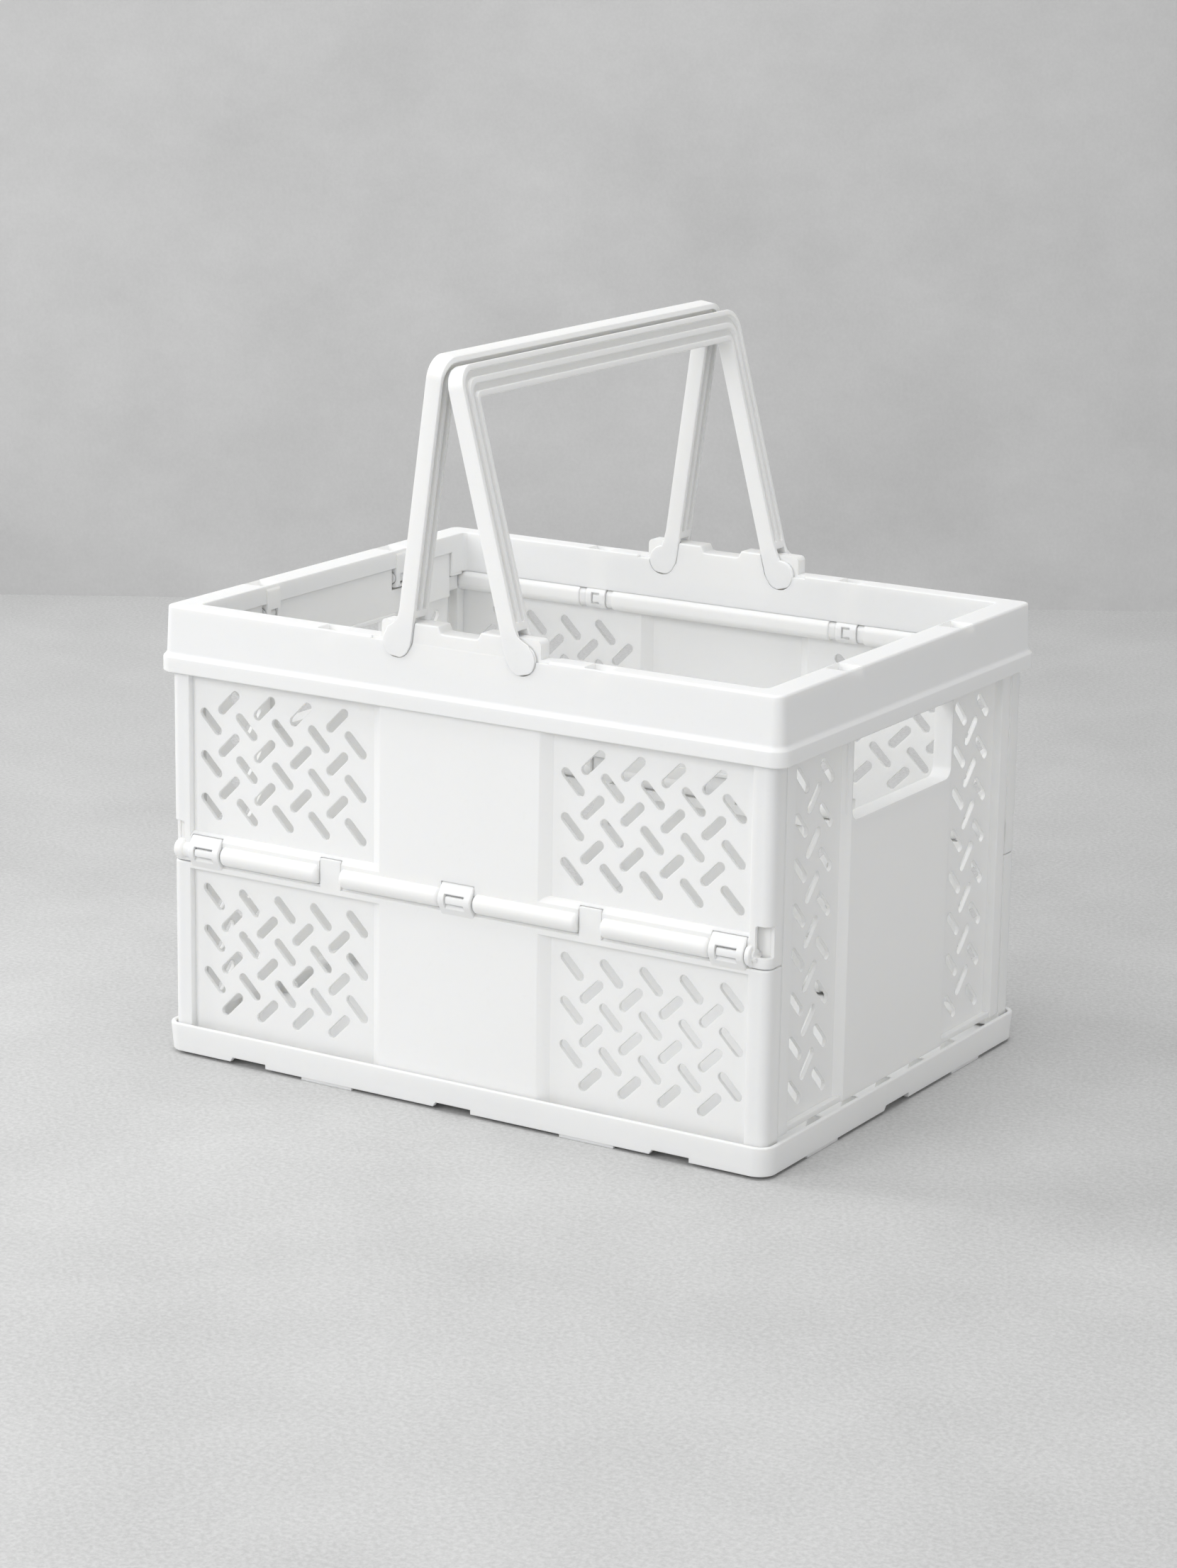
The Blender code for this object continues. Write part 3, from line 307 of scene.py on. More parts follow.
class Shape:
    """Piece under way: one solid that others are joined to and cut out of."""

    def __init__(self, name: str, first: Solid) -> None:
        """Start from a solid.

        Args:
            name: the piece's name.
            first: solid to start from.
        """
        self.name = name
        self.steps: list[bpy.types.Object] = []
        self.base = self._place(first, name)

    def _place(self, solid: Solid, name: str) -> bpy.types.Object:
        """Put a solid in the scene for as long as the piece is under way.

        Args:
            solid: solid to place.
            name: name of its object.

        Returns:
            The object.
        """
        item = bpy.data.objects.new(name, solid.mesh(name))
        bpy.context.scene.collection.objects.link(item)
        return item

    def _combine(self, operation: str, solids: tuple[Solid, ...]) -> "Shape":
        """Note one Boolean step for each solid.

        Args:
            operation: the Boolean modifier's operation.
            solids: solids to join or to take out, in order.

        Returns:
            This piece.
        """
        for solid in solids:
            helper = self._place(solid, self.name + "_step")
            step = self.base.modifiers.new(helper.name, "BOOLEAN")
            step.operation, step.object, step.solver = operation, helper, "MANIFOLD"
            self.steps.append(helper)
        return self

    def join(self, *solids: Solid) -> "Shape":
        """Unite solids with the piece."""
        return self._combine("UNION", solids)

    def cut(self, *solids: Solid) -> "Shape":
        """Take solids out of the piece."""
        return self._combine("DIFFERENCE", solids)

    def mesh(self) -> bpy.types.Mesh:
        """Work out the piece and clear its helpers away.

        Returns:
            The finished mesh, smooth but for its edges.
        """
        graph = bpy.context.evaluated_depsgraph_get()
        mesh = bpy.data.meshes.new_from_object(self.base.evaluated_get(graph), depsgraph=graph)
        mesh.name = self.name
        for item in (self.base, *self.steps):
            old = item.data
            bpy.data.objects.remove(item)
            bpy.data.meshes.remove(old)
        bm = bmesh.new()
        bm.from_mesh(mesh)
        loose = sum(1 for edge in bm.edges if not edge.is_manifold)
        bm.free()
        LOG.info("%s: %d faces, %d open edges", self.name, len(mesh.polygons), loose)
        mesh.polygons.foreach_set("use_smooth", [True] * len(mesh.polygons))
        mesh.set_sharp_from_angle(angle=SMOOTH_ANGLE)
        return mesh


Number = Union[float, "Value"]


class Value:
    """Output of a node, used as a number in shader maths."""

    def __init__(self, tree: bpy.types.NodeTree, socket: bpy.types.NodeSocket) -> None:
        """Wrap a socket of a node tree."""
        self.tree, self.socket = tree, socket

    def _math(self, operation: str, first: Number, second: Number, clamp: bool = False) -> "Value":
        """Add a Math node for one operation.

        Args:
            operation: the node's operation.
            first: its first entry.
            second: its second entry.
            clamp: whether to keep it from 0 to 1.

        Returns:
            What the node gives.
        """
        node = self.tree.nodes.new("ShaderNodeMath")
        node.operation, node.use_clamp = operation, clamp
        for index, entry in enumerate((first, second)):
            if isinstance(entry, Value):
                self.tree.links.new(entry.socket, node.inputs[index])
            else:
                node.inputs[index].default_value = entry
        return Value(self.tree, node.outputs[0])

    def __add__(self, other: Number) -> "Value":
        """Sum."""
        return self._math("ADD", self, other)

    __radd__ = __add__

    def __sub__(self, other: Number) -> "Value":
        """Difference."""
        return self._math("SUBTRACT", self, other)

    def __rsub__(self, other: Number) -> "Value":
        """Difference the other way round."""
        return self._math("SUBTRACT", other, self)

    def __mul__(self, other: Number) -> "Value":
        """Product."""
        return self._math("MULTIPLY", self, other)

    __rmul__ = __mul__

    def between(self, low: float, high: float) -> "Value":
        """0 below one value, 1 above the other, a ramp in between."""
        return self._math("MULTIPLY", self - low, 1 / (high - low), clamp=True)


class Recipe:
    """Node tree of one material under way."""

    def __init__(self, name: str) -> None:
        """Start an empty material with its output.

        Args:
            name: name of the material.
        """
        self.material = bpy.data.materials.new(name)
        self.material.use_nodes = True
        self.tree = self.material.node_tree
        self.tree.nodes.clear()
        self.output = self.tree.nodes.new("ShaderNodeOutputMaterial")

    def node(self, kind: str, settings: Optional[dict] = None, **inputs: object) -> bpy.types.Node:
        """Add a node.

        Args:
            kind: node type without its ShaderNode prefix.
            settings: properties of the node, set before its sockets.
            **inputs: value or link of each socket, by its name in lower case with underscores,
                or by its place as in _0.

        Returns:
            The node.
        """
        node = self.tree.nodes.new("ShaderNode" + kind)
        for key, entry in (settings or {}).items():
            setattr(node, key, entry)
        for key, entry in inputs.items():
            if key[0] == "_":
                socket = node.inputs[int(key[1:])]
            else:
                names = [item.name.lower().replace(" ", "_") for item in node.inputs]
                socket = node.inputs[names.index(key)]
            if isinstance(entry, Value):
                entry = entry.socket
            if isinstance(entry, bpy.types.NodeSocket):
                self.tree.links.new(entry, socket)
            else:
                socket.default_value = entry
        return node

    def noise(self, scale: float, detail: float = 3.0, stretch: Triple = (1, 1, 1),
              roughness: float = 0.55) -> Value:
        """Noise in the object's own space, stretched if need be.

        Args:
            scale: how fine it is.
            detail: number of finer layers.
            stretch: scale along each axis.
            roughness: weight of the finer layers.

        Returns:
            The noise, about 0.5 on average.
        """
        place = self.node("TexCoord").outputs["Object"]
        mapping = self.node("Mapping", {}, vector=place, scale=stretch)
        noise = self.node("TexNoise", {}, vector=mapping.outputs[0], scale=scale, detail=detail,
                          roughness=roughness)
        return Value(self.tree, noise.outputs[0])

    def blend(self, factor: Number, first: Triple, second: Triple) -> bpy.types.NodeSocket:
        """Mix two colours by a factor and give the colour's socket."""
        node = self.node("Mix", {"data_type": "RGBA"}, _0=factor, _6=(*first, 1), _7=(*second, 1))
        return node.outputs[2]

    def surface(self, shader: bpy.types.Node) -> bpy.types.Material:
        """Lead a shader to the output and give the material."""
        self.tree.links.new(shader.outputs[0], self.output.inputs["Surface"])
        return self.material


@dataclass(frozen=True)
class PlasticFinish:
    """Matte white moulded plastic with a soft sheen, fine grain and light scuffs."""

    name: str
    colour: Triple = (0.915, 0.918, 0.912)
    shade: Triple = (0.87, 0.872, 0.86)
    roughness: float = 0.42
    index: float = 1.49
    edge: float = 0.55
    cloud: Pair = (9.0, 4.0)         # scale and detail of each noise
    fleck: Pair = (420.0, 2.0)
    scuff: Pair = (60.0, 5.0)
    pit: Pair = (2600.0, 2.0)
    swell: Pair = (300.0, 3.0)
    scuff_stretch: Triple = (1.0, 1.0, 0.12)
    scuff_rough: float = 0.7
    scuff_ramp: Pair = (0.62, 0.74)
    cloud_tone: Triple = (0.35, 0.7, 0.35)      # ramp and its share of the shade
    fleck_tone: Triple = (0.6, 0.75, 0.25)
    gloss_shares: Triple = (0.1, 0.12, 0.05)    # cloud, scuffs, and what they add on average
    height_shares: Triple = (0.7, 0.3, 0.2)     # pits, swell, scuffs
    edge_samples: int = 6
    grain: float = 0.09
    grain_depth: float = 0.0003
    glow: float = 0.4
    glow_depth: float = 0.0035
    glow_tint: Triple = (1.0, 0.93, 0.8)

    def material(self) -> bpy.types.Material:
        """Build the material once and share it after that.

        Returns:
            The material.
        """
        if self.name in bpy.data.materials:
            return bpy.data.materials[self.name]
        recipe = Recipe(self.name)
        cloud = recipe.noise(*self.cloud)
        fleck = recipe.noise(*self.fleck)
        scuff = recipe.noise(*self.scuff, self.scuff_stretch, self.scuff_rough)
        scuff = scuff.between(*self.scuff_ramp)
        tone = (cloud.between(*self.cloud_tone[:2]) * self.cloud_tone[2]
                + fleck.between(*self.fleck_tone[:2]) * self.fleck_tone[2])
        colour = recipe.blend(tone, self.colour, self.shade)
        by_cloud, by_scuff, average = self.gloss_shares
        gloss = cloud * by_cloud + scuff * by_scuff + (self.roughness - average)
        rim = recipe.node("Bevel", {"samples": self.edge_samples}, radius=self.edge * MM)
        by_pit, by_swell, by_scuff = self.height_shares
        height = recipe.noise(*self.pit) * by_pit + recipe.noise(*self.swell) * by_swell
        height = height - scuff * by_scuff
        bump = recipe.node("Bump", {}, strength=self.grain, distance=self.grain_depth,
                           height=height, normal=rim.outputs[0])
        shader = recipe.node("BsdfPrincipled", {}, base_color=colour, roughness=gloss,
                             normal=bump.outputs[0], ior=self.index, subsurface_weight=self.glow,
                             subsurface_radius=self.glow_tint, subsurface_scale=self.glow_depth)
        return recipe.surface(shader)


@dataclass(frozen=True)
class PlasterFinish:
    """Pale mottled plaster of the floor and the backdrop."""

    name: str
    colour: Triple = (0.665, 0.667, 0.665)
    shade: Triple = (0.46, 0.462, 0.46)
    mottle: float = 0.2
    grain: float = 0.5
    one_sided: bool = False
    roughness: float = 0.75
    relief: float = 0.12
    relief_depth: float = 0.001
    cloud: Noise = (2.2, 6.0, (1.0, 1.0, 1.6), 0.62)
    patch: Noise = (9.0, 6.0, (1.0, 1.0, 1.4), 0.7)
    speck: Noise = (430.0, 3.0, (1.0, 1.0, 1.0), 0.7)
    ramp: Pair = (0.3, 0.7)
    speck_ramp: Pair = (0.36, 0.64)
    cloud_share: float = 0.3
    speck_relief: float = 0.5

    def material(self) -> bpy.types.Material:
        """Build the material.

        Returns:
            The material.
        """
        recipe = Recipe(self.name)
        cloud = recipe.noise(*self.cloud)
        patch = recipe.noise(*self.patch)
        speck = recipe.noise(*self.speck)
        tone = (cloud.between(*self.ramp) * self.cloud_share
                + patch.between(*self.ramp) * self.mottle
                + speck.between(*self.speck_ramp) * self.grain)
        colour = recipe.blend(tone, self.colour, self.shade)
        bump = recipe.node("Bump", {}, strength=self.relief, distance=self.relief_depth,
                           height=speck * self.speck_relief + patch)
        shader = recipe.node("BsdfPrincipled", {}, base_color=colour, roughness=self.roughness,
                             normal=bump.outputs[0])
        if not self.one_sided:
            return recipe.surface(shader)
        back = recipe.node("NewGeometry").outputs["Backfacing"]
        clear = recipe.node("BsdfTransparent")
        mix = recipe.node("MixShader", {}, _0=back, _1=shader.outputs[0], _2=clear.outputs[0])
        return recipe.surface(mix)


@dataclass
class Part:
    """What each sub-assembly has: a way to put its meshes in the scene."""

    finish: PlasticFinish = field(default_factory=lambda: PlasticFinish("white_plastic"))

    def place(self, name: str, mesh: bpy.types.Mesh, body: Body, node: str, slot: str,
              matrix: Matrix = AS_BUILT) -> bpy.types.Object:
        """Put a mesh in the scene in place of a CAD node.

        Args:
            name: name of the piece.
            mesh: its mesh, which may be shared with a turned copy.
            body: CAD body that it rides on.
            node: CAD node that it stands for.
            slot: not used.
            matrix: turn or shift that takes the mesh to its place, in metres.

        Returns:
            The piece.
        """
        mesh = mesh.copy()
        mesh.transform(matrix)
        mesh.materials.clear()
        mesh.materials.append(self.finish.material())
        item = bpy.data.objects.new(name, mesh)
        bpy.context.scene.collection.objects.link(item)
        weighted = item.modifiers.new("weighted_normals", "WEIGHTED_NORMAL")
        weighted.keep_sharp = True
        weighted.weight = NORMAL_WEIGHT
        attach(item, body.value)
        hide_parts(node)
        LOG.info("placed %s on %s", name, body.value)
        return item


@dataclass
class BaseTray(Part):
    """Shallow tray on a skirt, with stops for the end walls and rings for the lower panels."""

    half: Pair = (173.5, 131.6)
    height: float = 16.0
    draft: float = 0.85
    wall: float = 2.5
    radius: float = 8.7
    floor: Pair = (4.5, 7.0)
    skirt: float = 2.8
    lift: float = 1.5
    under_round: Rows = ((0.0, 0.5), (0.15, 0.15), (0.5, 0.0))     # up, drawn in
    top_round: Rows = ((-0.8, 0.04), (-0.25, 0.24), (0.0, 0.8))
    inner_round: float = 0.5
    notches: Triple = (-121.5, 0.0, 121.5)
    long_notch: float = 20.0
    end_notch: float = 24.0
    notch_high: float = 4.0
    notch_slope: float = 3.0
    pad: Pair = (60.0, 90.0)
    pad_inset: float = 0.6
    pad_wide: float = 2.0
    pad_high: float = 2.2
    pad_edge: float = 0.2
    ribs: tuple[float, ...] = (-70.0, -35.0, 0.0, 35.0, 70.0)
    rib_half: float = 1.0
    rib_top: float = 14.0
    rib_reach: float = 11.0
    rib_edge: float = 0.3
    rib_nose: Rows = ((1.5, -1.0), (3.0, 0.0))                     # back, up
    root: float = 0.8
    ring: float = 3.9
    ring_half: float = 6.0
    ring_edge: float = 0.5

    def _notch(self, centre: float, wide: float) -> Flat:
        """Opening at the lower edge, one flank sloped.

        Args:
            centre: middle of the opening.
            wide: its width.

        Returns:
            Its outline, as (place along the edge, z).
        """
        left, right = centre - wide / 2, centre + wide / 2
        return [(left - self.notch_slope, -OVER), (left - self.notch_slope, 0),
                (left, self.notch_high), (right, self.notch_high), (right, -OVER)]

    def build(self) -> bpy.types.Mesh:
        """Make the tray's mesh.

        Returns:
            The finished mesh.
        """
        top, draft, base, soft = self.height, self.draft, self.floor[1], self.inner_round
        outer = [(self.lift + up, draft + draw) for up, draw in self.under_round]
        outer += [(top + up, draw) for up, draw in self.top_round]
        inner = [(base, self.wall + soft), (base + soft, self.wall), (top - soft, self.wall),
                 (top + OVER, self.wall - OVER - soft)]
        under = [(-OVER, draft + self.skirt), (self.floor[0], draft + self.skirt)]
        shape = Shape("tray", Solid().skin(levels(self.half, outer, self.radius)))
        shape.cut(Solid().skin(levels(self.half, inner, self.radius - self.wall)),
                  Solid().skin(levels(self.half, under, self.radius - self.skirt)))
        for centre in self.notches:
            shape.cut(Solid().prism(self._notch(centre, self.long_notch), Axis.Y,
                                    -self.half[1] - OVER, self.half[1] + OVER))
        shape.cut(Solid().prism(self._notch(0, self.end_notch), Axis.X,
                                -self.half[0] - OVER, self.half[0] + OVER))
        self._pads(shape)
        for side in SIDES:
            for middle in self.ribs:
                self._rib(shape, side, middle)
            for place in LONG_CLIPS:
                self._ring(shape, side, place)
        return shape.mesh()

    def _pads(self, shape: Shape) -> None:
        """Join the eight pads that carry the tray.

        Args:
            shape: piece under way.
        """
        near, far = self.pad
        far_x, far_y = (half - self.draft - self.pad_inset for half in self.half)
        for x in SIDES:
            for y in SIDES:
                shape.join(
                    Solid().block((x * near, y * far_y, 0),
                                  (x * far, y * (far_y - self.pad_wide), self.pad_high),
                                  self.pad_edge),
                    Solid().block((x * far_x, y * near, 0),
                                  (x * (far_x - self.pad_wide), y * far, self.pad_high),
                                  self.pad_edge))

    def _rib(self, shape: Shape, side: int, middle: float) -> None:
        """Join one stop for an end wall.

        Args:
            shape: piece under way.
            side: -1 or 1, the end of the tray.
            middle: place along Y.
        """
        wall = side * (self.half[0] - self.wall + self.root)
        reach = side * (self.half[0] - self.wall - self.rib_reach)
        under = self.floor[1] - self.root
        nose = [(reach + side * back, self.rib_top + up) for back, up in self.rib_nose]
        outline = [(wall, under), (reach, under), *nose, (wall, self.rib_top)]
        shape.join(Solid().prism(outline, Axis.Y, middle - self.rib_half, middle + self.rib_half,
                                 self.rib_edge))

    def _ring(self, shape: Shape, side: int, place: float) -> None:
        """Join one ring that a lower panel's pin snaps into.

        Args:
            shape: piece under way.
            side: -1 or 1, the long side.
            place: place along X.
        """
        y, z = side * LOW_AXIS[0], LOW_AXIS[1]
        start, end = place - self.ring_half, place + self.ring_half
        shape.join(Solid().rod(Axis.X, (y, z), self.ring, start, end, self.ring_edge),
                   Solid().block((start, y - self.ring, self.floor[1] - self.root),
                                 (end, y + self.ring, z)))
        shape.cut(Solid().rod(Axis.X, (y, z), LOW_PIN + CLEAR, start - OVER, end + OVER))

    def dress(self) -> None:
        """Set the tray in the scene."""
        self.place("tray_body", self.build(), Body.BASKET, "base_tray", "tray_plastic")


@dataclass
class TopRim(Part):
    """Hollow rim with a lip, ears for the handles and clips for all four walls."""

    half: Pair = (175.5, 131.25)
    radius: float = 7.5
    top: float = 229.0
    lip: Pair = (196.0, 204.0)
    lip_round: Rows = ((0.0, 0.8), (0.25, 0.25), (0.8, 0.0))       # up, drawn in
    step_round: Rows = ((-0.7, 0.0), (-0.1, 0.2), (0.9, 1.2), (1.5, 1.65), (2.4, 1.95))
    mouth_round: Rows = ((-0.7, 0.0), (-0.2, -0.2), (0.0, -0.7))
    step: float = 1.9
    draft: float = 1.0
    edge: float = 1.2
    edge_steps: int = 5
    hollow_up: Pair = (0.2, 1.5)
    skin: float = 0.2
    wall: float = 2.6
    flange: Pair = (16.6, 14.2)
    inner_wall: float = 2.2
    inner_under: Pair = (219.6, 209.0)
    inner_foot: Triple = (1.1, 0.1, 0.3)                           # down, down, width
    mouth_steps: int = 8
    corner_y: Pair = (105.5, 115.3)
    corner_under: float = 206.5
    ear_top: float = 238.0
    ear_middle: float = 234.5
    ear_under: float = 216.0
    ear_ends: Pair = (10.0, 44.7)
    ear_radii: Pair = (1.0, 2.6)
    ear_root: Rows = ((-1.2, 0.0), (0.4, 0.35))                    # along, up
    ear_start: float = 2.6
    ear_edge: float = 0.8
    ear_core: Pair = (119.55, 126.95)
    ear_inset: float = 0.15
    stud: float = 2.5
    socket_gap: float = 0.1
    socket_reach: float = 15.0
    socket_low: float = -0.5
    socket_turn: float = -150.0
    leg: float = 8.65
    wall_clip_half: float = 6.0
    hook: Rows = ((-2.4, -3.0), (2.4, -3.0), (2.4, -1.9), (-1.3, -1.9),
                  (-1.3, 1.9), (2.4, 1.9), (2.4, 3.0), (-2.4, 3.0))
    hook_deep: float = 1.5
    clip_edge: float = 0.4
    clip_skins: Pair = (0.3, 0.2)
    end_case: Pair = (158.0, 167.4)
    end_case_under: float = 208.9
    end_case_radius: float = 2.0
    end_clip_half: float = 5.5
    end_window: Triple = (3.0, -3.5, 2.5)                          # half width, under, top
    pocket_long: float = 14.2
    pocket_deep: float = 3.6
    pocket_end: float = 6.2
    pocket_walls: Pair = (1.3, 3.5)
    pocket_steep: Rows = ((0.2, 0.3), (0.0, -0.5))                 # from the steep end's top
    pocket_floor: Rows = ((0.0, 0.3), (-0.3, 0.0), (-1.8, 0.0))    # from its foot
    pocket_ramp: Rows = ((1.0, -0.15), (0.0, 0.3))                 # from the ramp's upper end
    pocket_pad: Triple = (1.2, 1.4, 0.4)                           # beyond the ends, under, beside
    pocket_edge: float = 0.25

    @property
    def mouth(self) -> Pair:
        """Half sizes of the mouth."""
        return self.half[0] - self.flange[0], self.half[1] - self.flange[1]

    def build(self) -> bpy.types.Mesh:
        """Make the rim's mesh.

        Returns:
            The finished mesh.
        """
        (under, over), (high, low) = self.lip, self.inner_under
        collar = self.step + self.draft
        rows = [(under + up, draw) for up, draw in self.lip_round]
        rows += [(over + up, draw) for up, draw in self.step_round]
        turns = [math.radians(90 * step / self.edge_steps) for step in range(self.edge_steps + 1)]
        rows += [(self.top - self.edge + self.edge * math.sin(turn),
                  collar + self.edge * (1 - math.cos(turn))) for turn in turns]
        shape = Shape("rim", Solid().skin(levels(self.half, rows, self.radius, self.wall)))
        first, second = self.hollow_up
        rows = [(under - OVER, self.wall), (over + first, self.wall),
                (over + second, self.step + self.wall), (self.top - self.wall, collar + self.wall)]
        shape.cut(Solid().skin(levels(self.half, rows, self.radius, self.wall)))
        deep, root, wide = self.inner_foot
        rows = [(low - deep, -wide), (low - root, -self.inner_wall),
                (self.top - self.wall / 2, -self.inner_wall)]
        shape.join(Solid().skin(levels(self.mouth, rows, self.wall, 0, self.mouth_steps)))
        inner, outer = self.mouth[0], self.mouth[0] + self.inner_wall
        near, far = self.corner_y
        for side in SIDES:
            shape.cut(Solid().block((side * (inner - OVER), -near, low - OVER),
                                    (side * (outer + OVER), near, high)))
            for end in SIDES:
                shape.join(Solid().block(
                    (side * (inner + self.skin), end * near, self.corner_under),
                    (side * outer, end * far, low + 1)))
        rows = [(low - OVER, 0), *((self.top + up, draw) for up, draw in self.mouth_round)]
        rows.append((self.top + OVER, rows[-1][1]))
        shape.cut(Solid().skin(levels(self.mouth, rows, self.wall, 0, self.mouth_steps)))
        for side in SIDES:
            self._ear(shape, side)
            for place in LONG_CLIPS:
                self._wall_clip(shape, side, place)
            for place in END_CLIPS:
                self._end_clip(shape, side, place)
        return shape.mesh()

    def _ear(self, shape: Shape, side: int) -> None:
        """Join one ear and cut its sockets and bores.

        Args:
            shape: piece under way.
            side: -1 or 1, the long side.
        """
        (near, far), (small, large) = self.ear_ends, self.ear_radii
        middle, top = self.ear_middle, self.ear_top
        half = [*shifted(self.ear_root, (near, middle)),
                *arc((near + self.ear_start, top - small), small, 165, 90, 3),
                *arc((far - large, top - large), large, 90, 8, 6), (far, self.ear_under)]
        outline = [(-x, z) for x, z in reversed(half)] + half
        outer = self.half[1] - self.step - self.draft - self.ear_inset
        inner = self.mouth[1] + self.ear_inset
        shape.join(Solid().prism(outline, Axis.Y, side * outer, side * inner, self.ear_edge, 3))
        for end, lean in zip(SIDES, LEANS):
            socket = self._socket(end, lean)
            for first, second in ((self.ear_core[1], outer + OVER),
                                  (inner - OVER, self.ear_core[0])):
                shape.cut(Solid().prism(socket, Axis.Y, side * first, side * second))
            shape.cut(Solid().rod(Axis.Y, (end * PIVOT[0], PIVOT[1]), self.stud + CLEAR,
                                  side * outer, side * inner))

    def _socket(self, end: int, lean: float) -> Flat:
        """Hollow that lets a foot turn from its leaning rest to flat outward.

        Args:
            end: -1 or 1, the end that the bail folds to.
            lean: lean of the bail at rest, in degrees.

        Returns:
            Its outline, as (x, z).
        """
        radius, above = FOOT + self.socket_gap, self.ear_top - PIVOT[1] + OVER
        tilt = math.radians(lean)
        first = -math.degrees(math.asin(CLEAR / radius))
        line = [(-self.leg / math.cos(tilt) - up * math.tan(tilt), up)
                for up in (self.socket_low, above)]
        points = [(self.socket_reach, above), (self.socket_reach, -CLEAR),
                  *arc((0, 0), radius, first, self.socket_turn, 26), *line]
        return [(end * (PIVOT[0] + outward), PIVOT[1] + up) for outward, up in points]

    def _sink(self, shape: Shape, axis: Axis, place: float, steep: int, across: Pair) -> None:
        """Sink a pocket into the rim's top: a ramp down to a steep end, closed at both sides.

        Args:
            shape: rim under way.
            axis: direction across the rim.
            place: middle of the clip below it, along the rim.
            steep: 1 or -1, the end that is steep.
            across: where the pocket starts and ends across the rim.
        """
        low, high = sorted(across)
        end, floor = place + steep * self.pocket_end, self.top - self.pocket_deep
        start = end - steep * self.pocket_long
        outline = [(along + steep * a, z + b)
                   for along, z, rows in ((end, self.top, self.pocket_steep),
                                          (end, floor, self.pocket_floor),
                                          (start, self.top, self.pocket_ramp)) for a, b in rows]
        beyond, under, beside = self.pocket_pad
        pad = rectangle((min(start, end) - beyond, floor - under),
                        (max(start, end) + beyond, self.top - 1))
        shape.join(Solid().prism(pad, axis, low - beside, high + beside))
        shape.cut(Solid().prism(outline, axis, low, high, self.pocket_edge))

    def _wall_clip(self, shape: Shape, side: int, place: float) -> None:
        """Join one C-shaped clip under a long side and sink the pocket above it.

        Args:
            shape: piece under way.
            side: -1 or 1, the long side.
            place: place along X.
        """
        y, z = side * TOP_AXIS[0], TOP_AXIS[1]
        start, end = place - self.wall_clip_half, place + self.wall_clip_half
        near = side * (self.mouth[1] + self.clip_skins[0])
        far = side * (TOP_AXIS[0] + TOP_CASE[0] - self.clip_skins[1])
        shape.join(Solid().prism(turned(rounded(*TOP_CASE), 0, (y, z)), Axis.X, start, end,
                                 self.clip_edge),
                   Solid().block((start, near, z), (end, far, self.top - self.wall / 2)))
        shape.cut(Solid().rod(Axis.X, (y, z), PIN + CLEAR, start - OVER, end + OVER))
        face = TOP_AXIS[0] - TOP_CASE[0]
        shape.cut(Solid().prism(shifted(self.hook, (place, z)), Axis.Y,
                                side * (face - OVER), side * (face + self.hook_deep)))
        near, far = self.pocket_walls
        across = (side * (self.mouth[1] + near), side * (self.half[1] - far))
        self._sink(shape, Axis.Y, place, -1, across)

    def _end_clip(self, shape: Shape, side: int, place: float) -> None:
        """Join one clip under a short side and sink the pocket above it.

        Args:
            shape: piece under way.
            side: -1 or 1, the short side.
            place: place along Y.
        """
        x, z = side * END_AXIS[0], END_AXIS[1]
        start, end = place - self.end_clip_half, place + self.end_clip_half
        near, far = sorted(side * reach for reach in self.end_case)
        case = rectangle((near, self.end_case_under), (far, self.top - self.wall / 2),
                         self.end_case_radius)
        shape.join(Solid().prism(case, Axis.Y, start, end, self.clip_edge))
        shape.cut(Solid().rod(Axis.Y, (x, z), PIN + CLEAR, start - OVER, end + OVER))
        half, under, over = self.end_window
        shape.cut(Solid().block((side * (self.end_case[0] - OVER), place - half, z + under),
                                (x, place + half, z + over)))
        near, far = self.pocket_walls
        across = (side * (self.mouth[0] + near), side * (self.half[0] - far))
        self._sink(shape, Axis.X, place, 1, across)

    def dress(self) -> None:
        """Set the rim in the scene."""
        self.place("rim_body", self.build(), Body.BASKET, "top_rim", "rim_plastic")


def slot_outline(centre: Pair, rising: bool, radius: float = 2.4, reach: float = 5.7) -> Flat:
    """Long hole with round ends, turned one way or the other."""
    points = arc((reach, 0), radius, -90, 90, 10) + arc((-reach, 0), radius, 90, 270, 10)
    return turned(points, SLOT_TURN if rising else -SLOT_TURN, centre)


class Half(Enum):
    """Half of a long wall."""

    LOWER = "lower"
    UPPER = "upper"


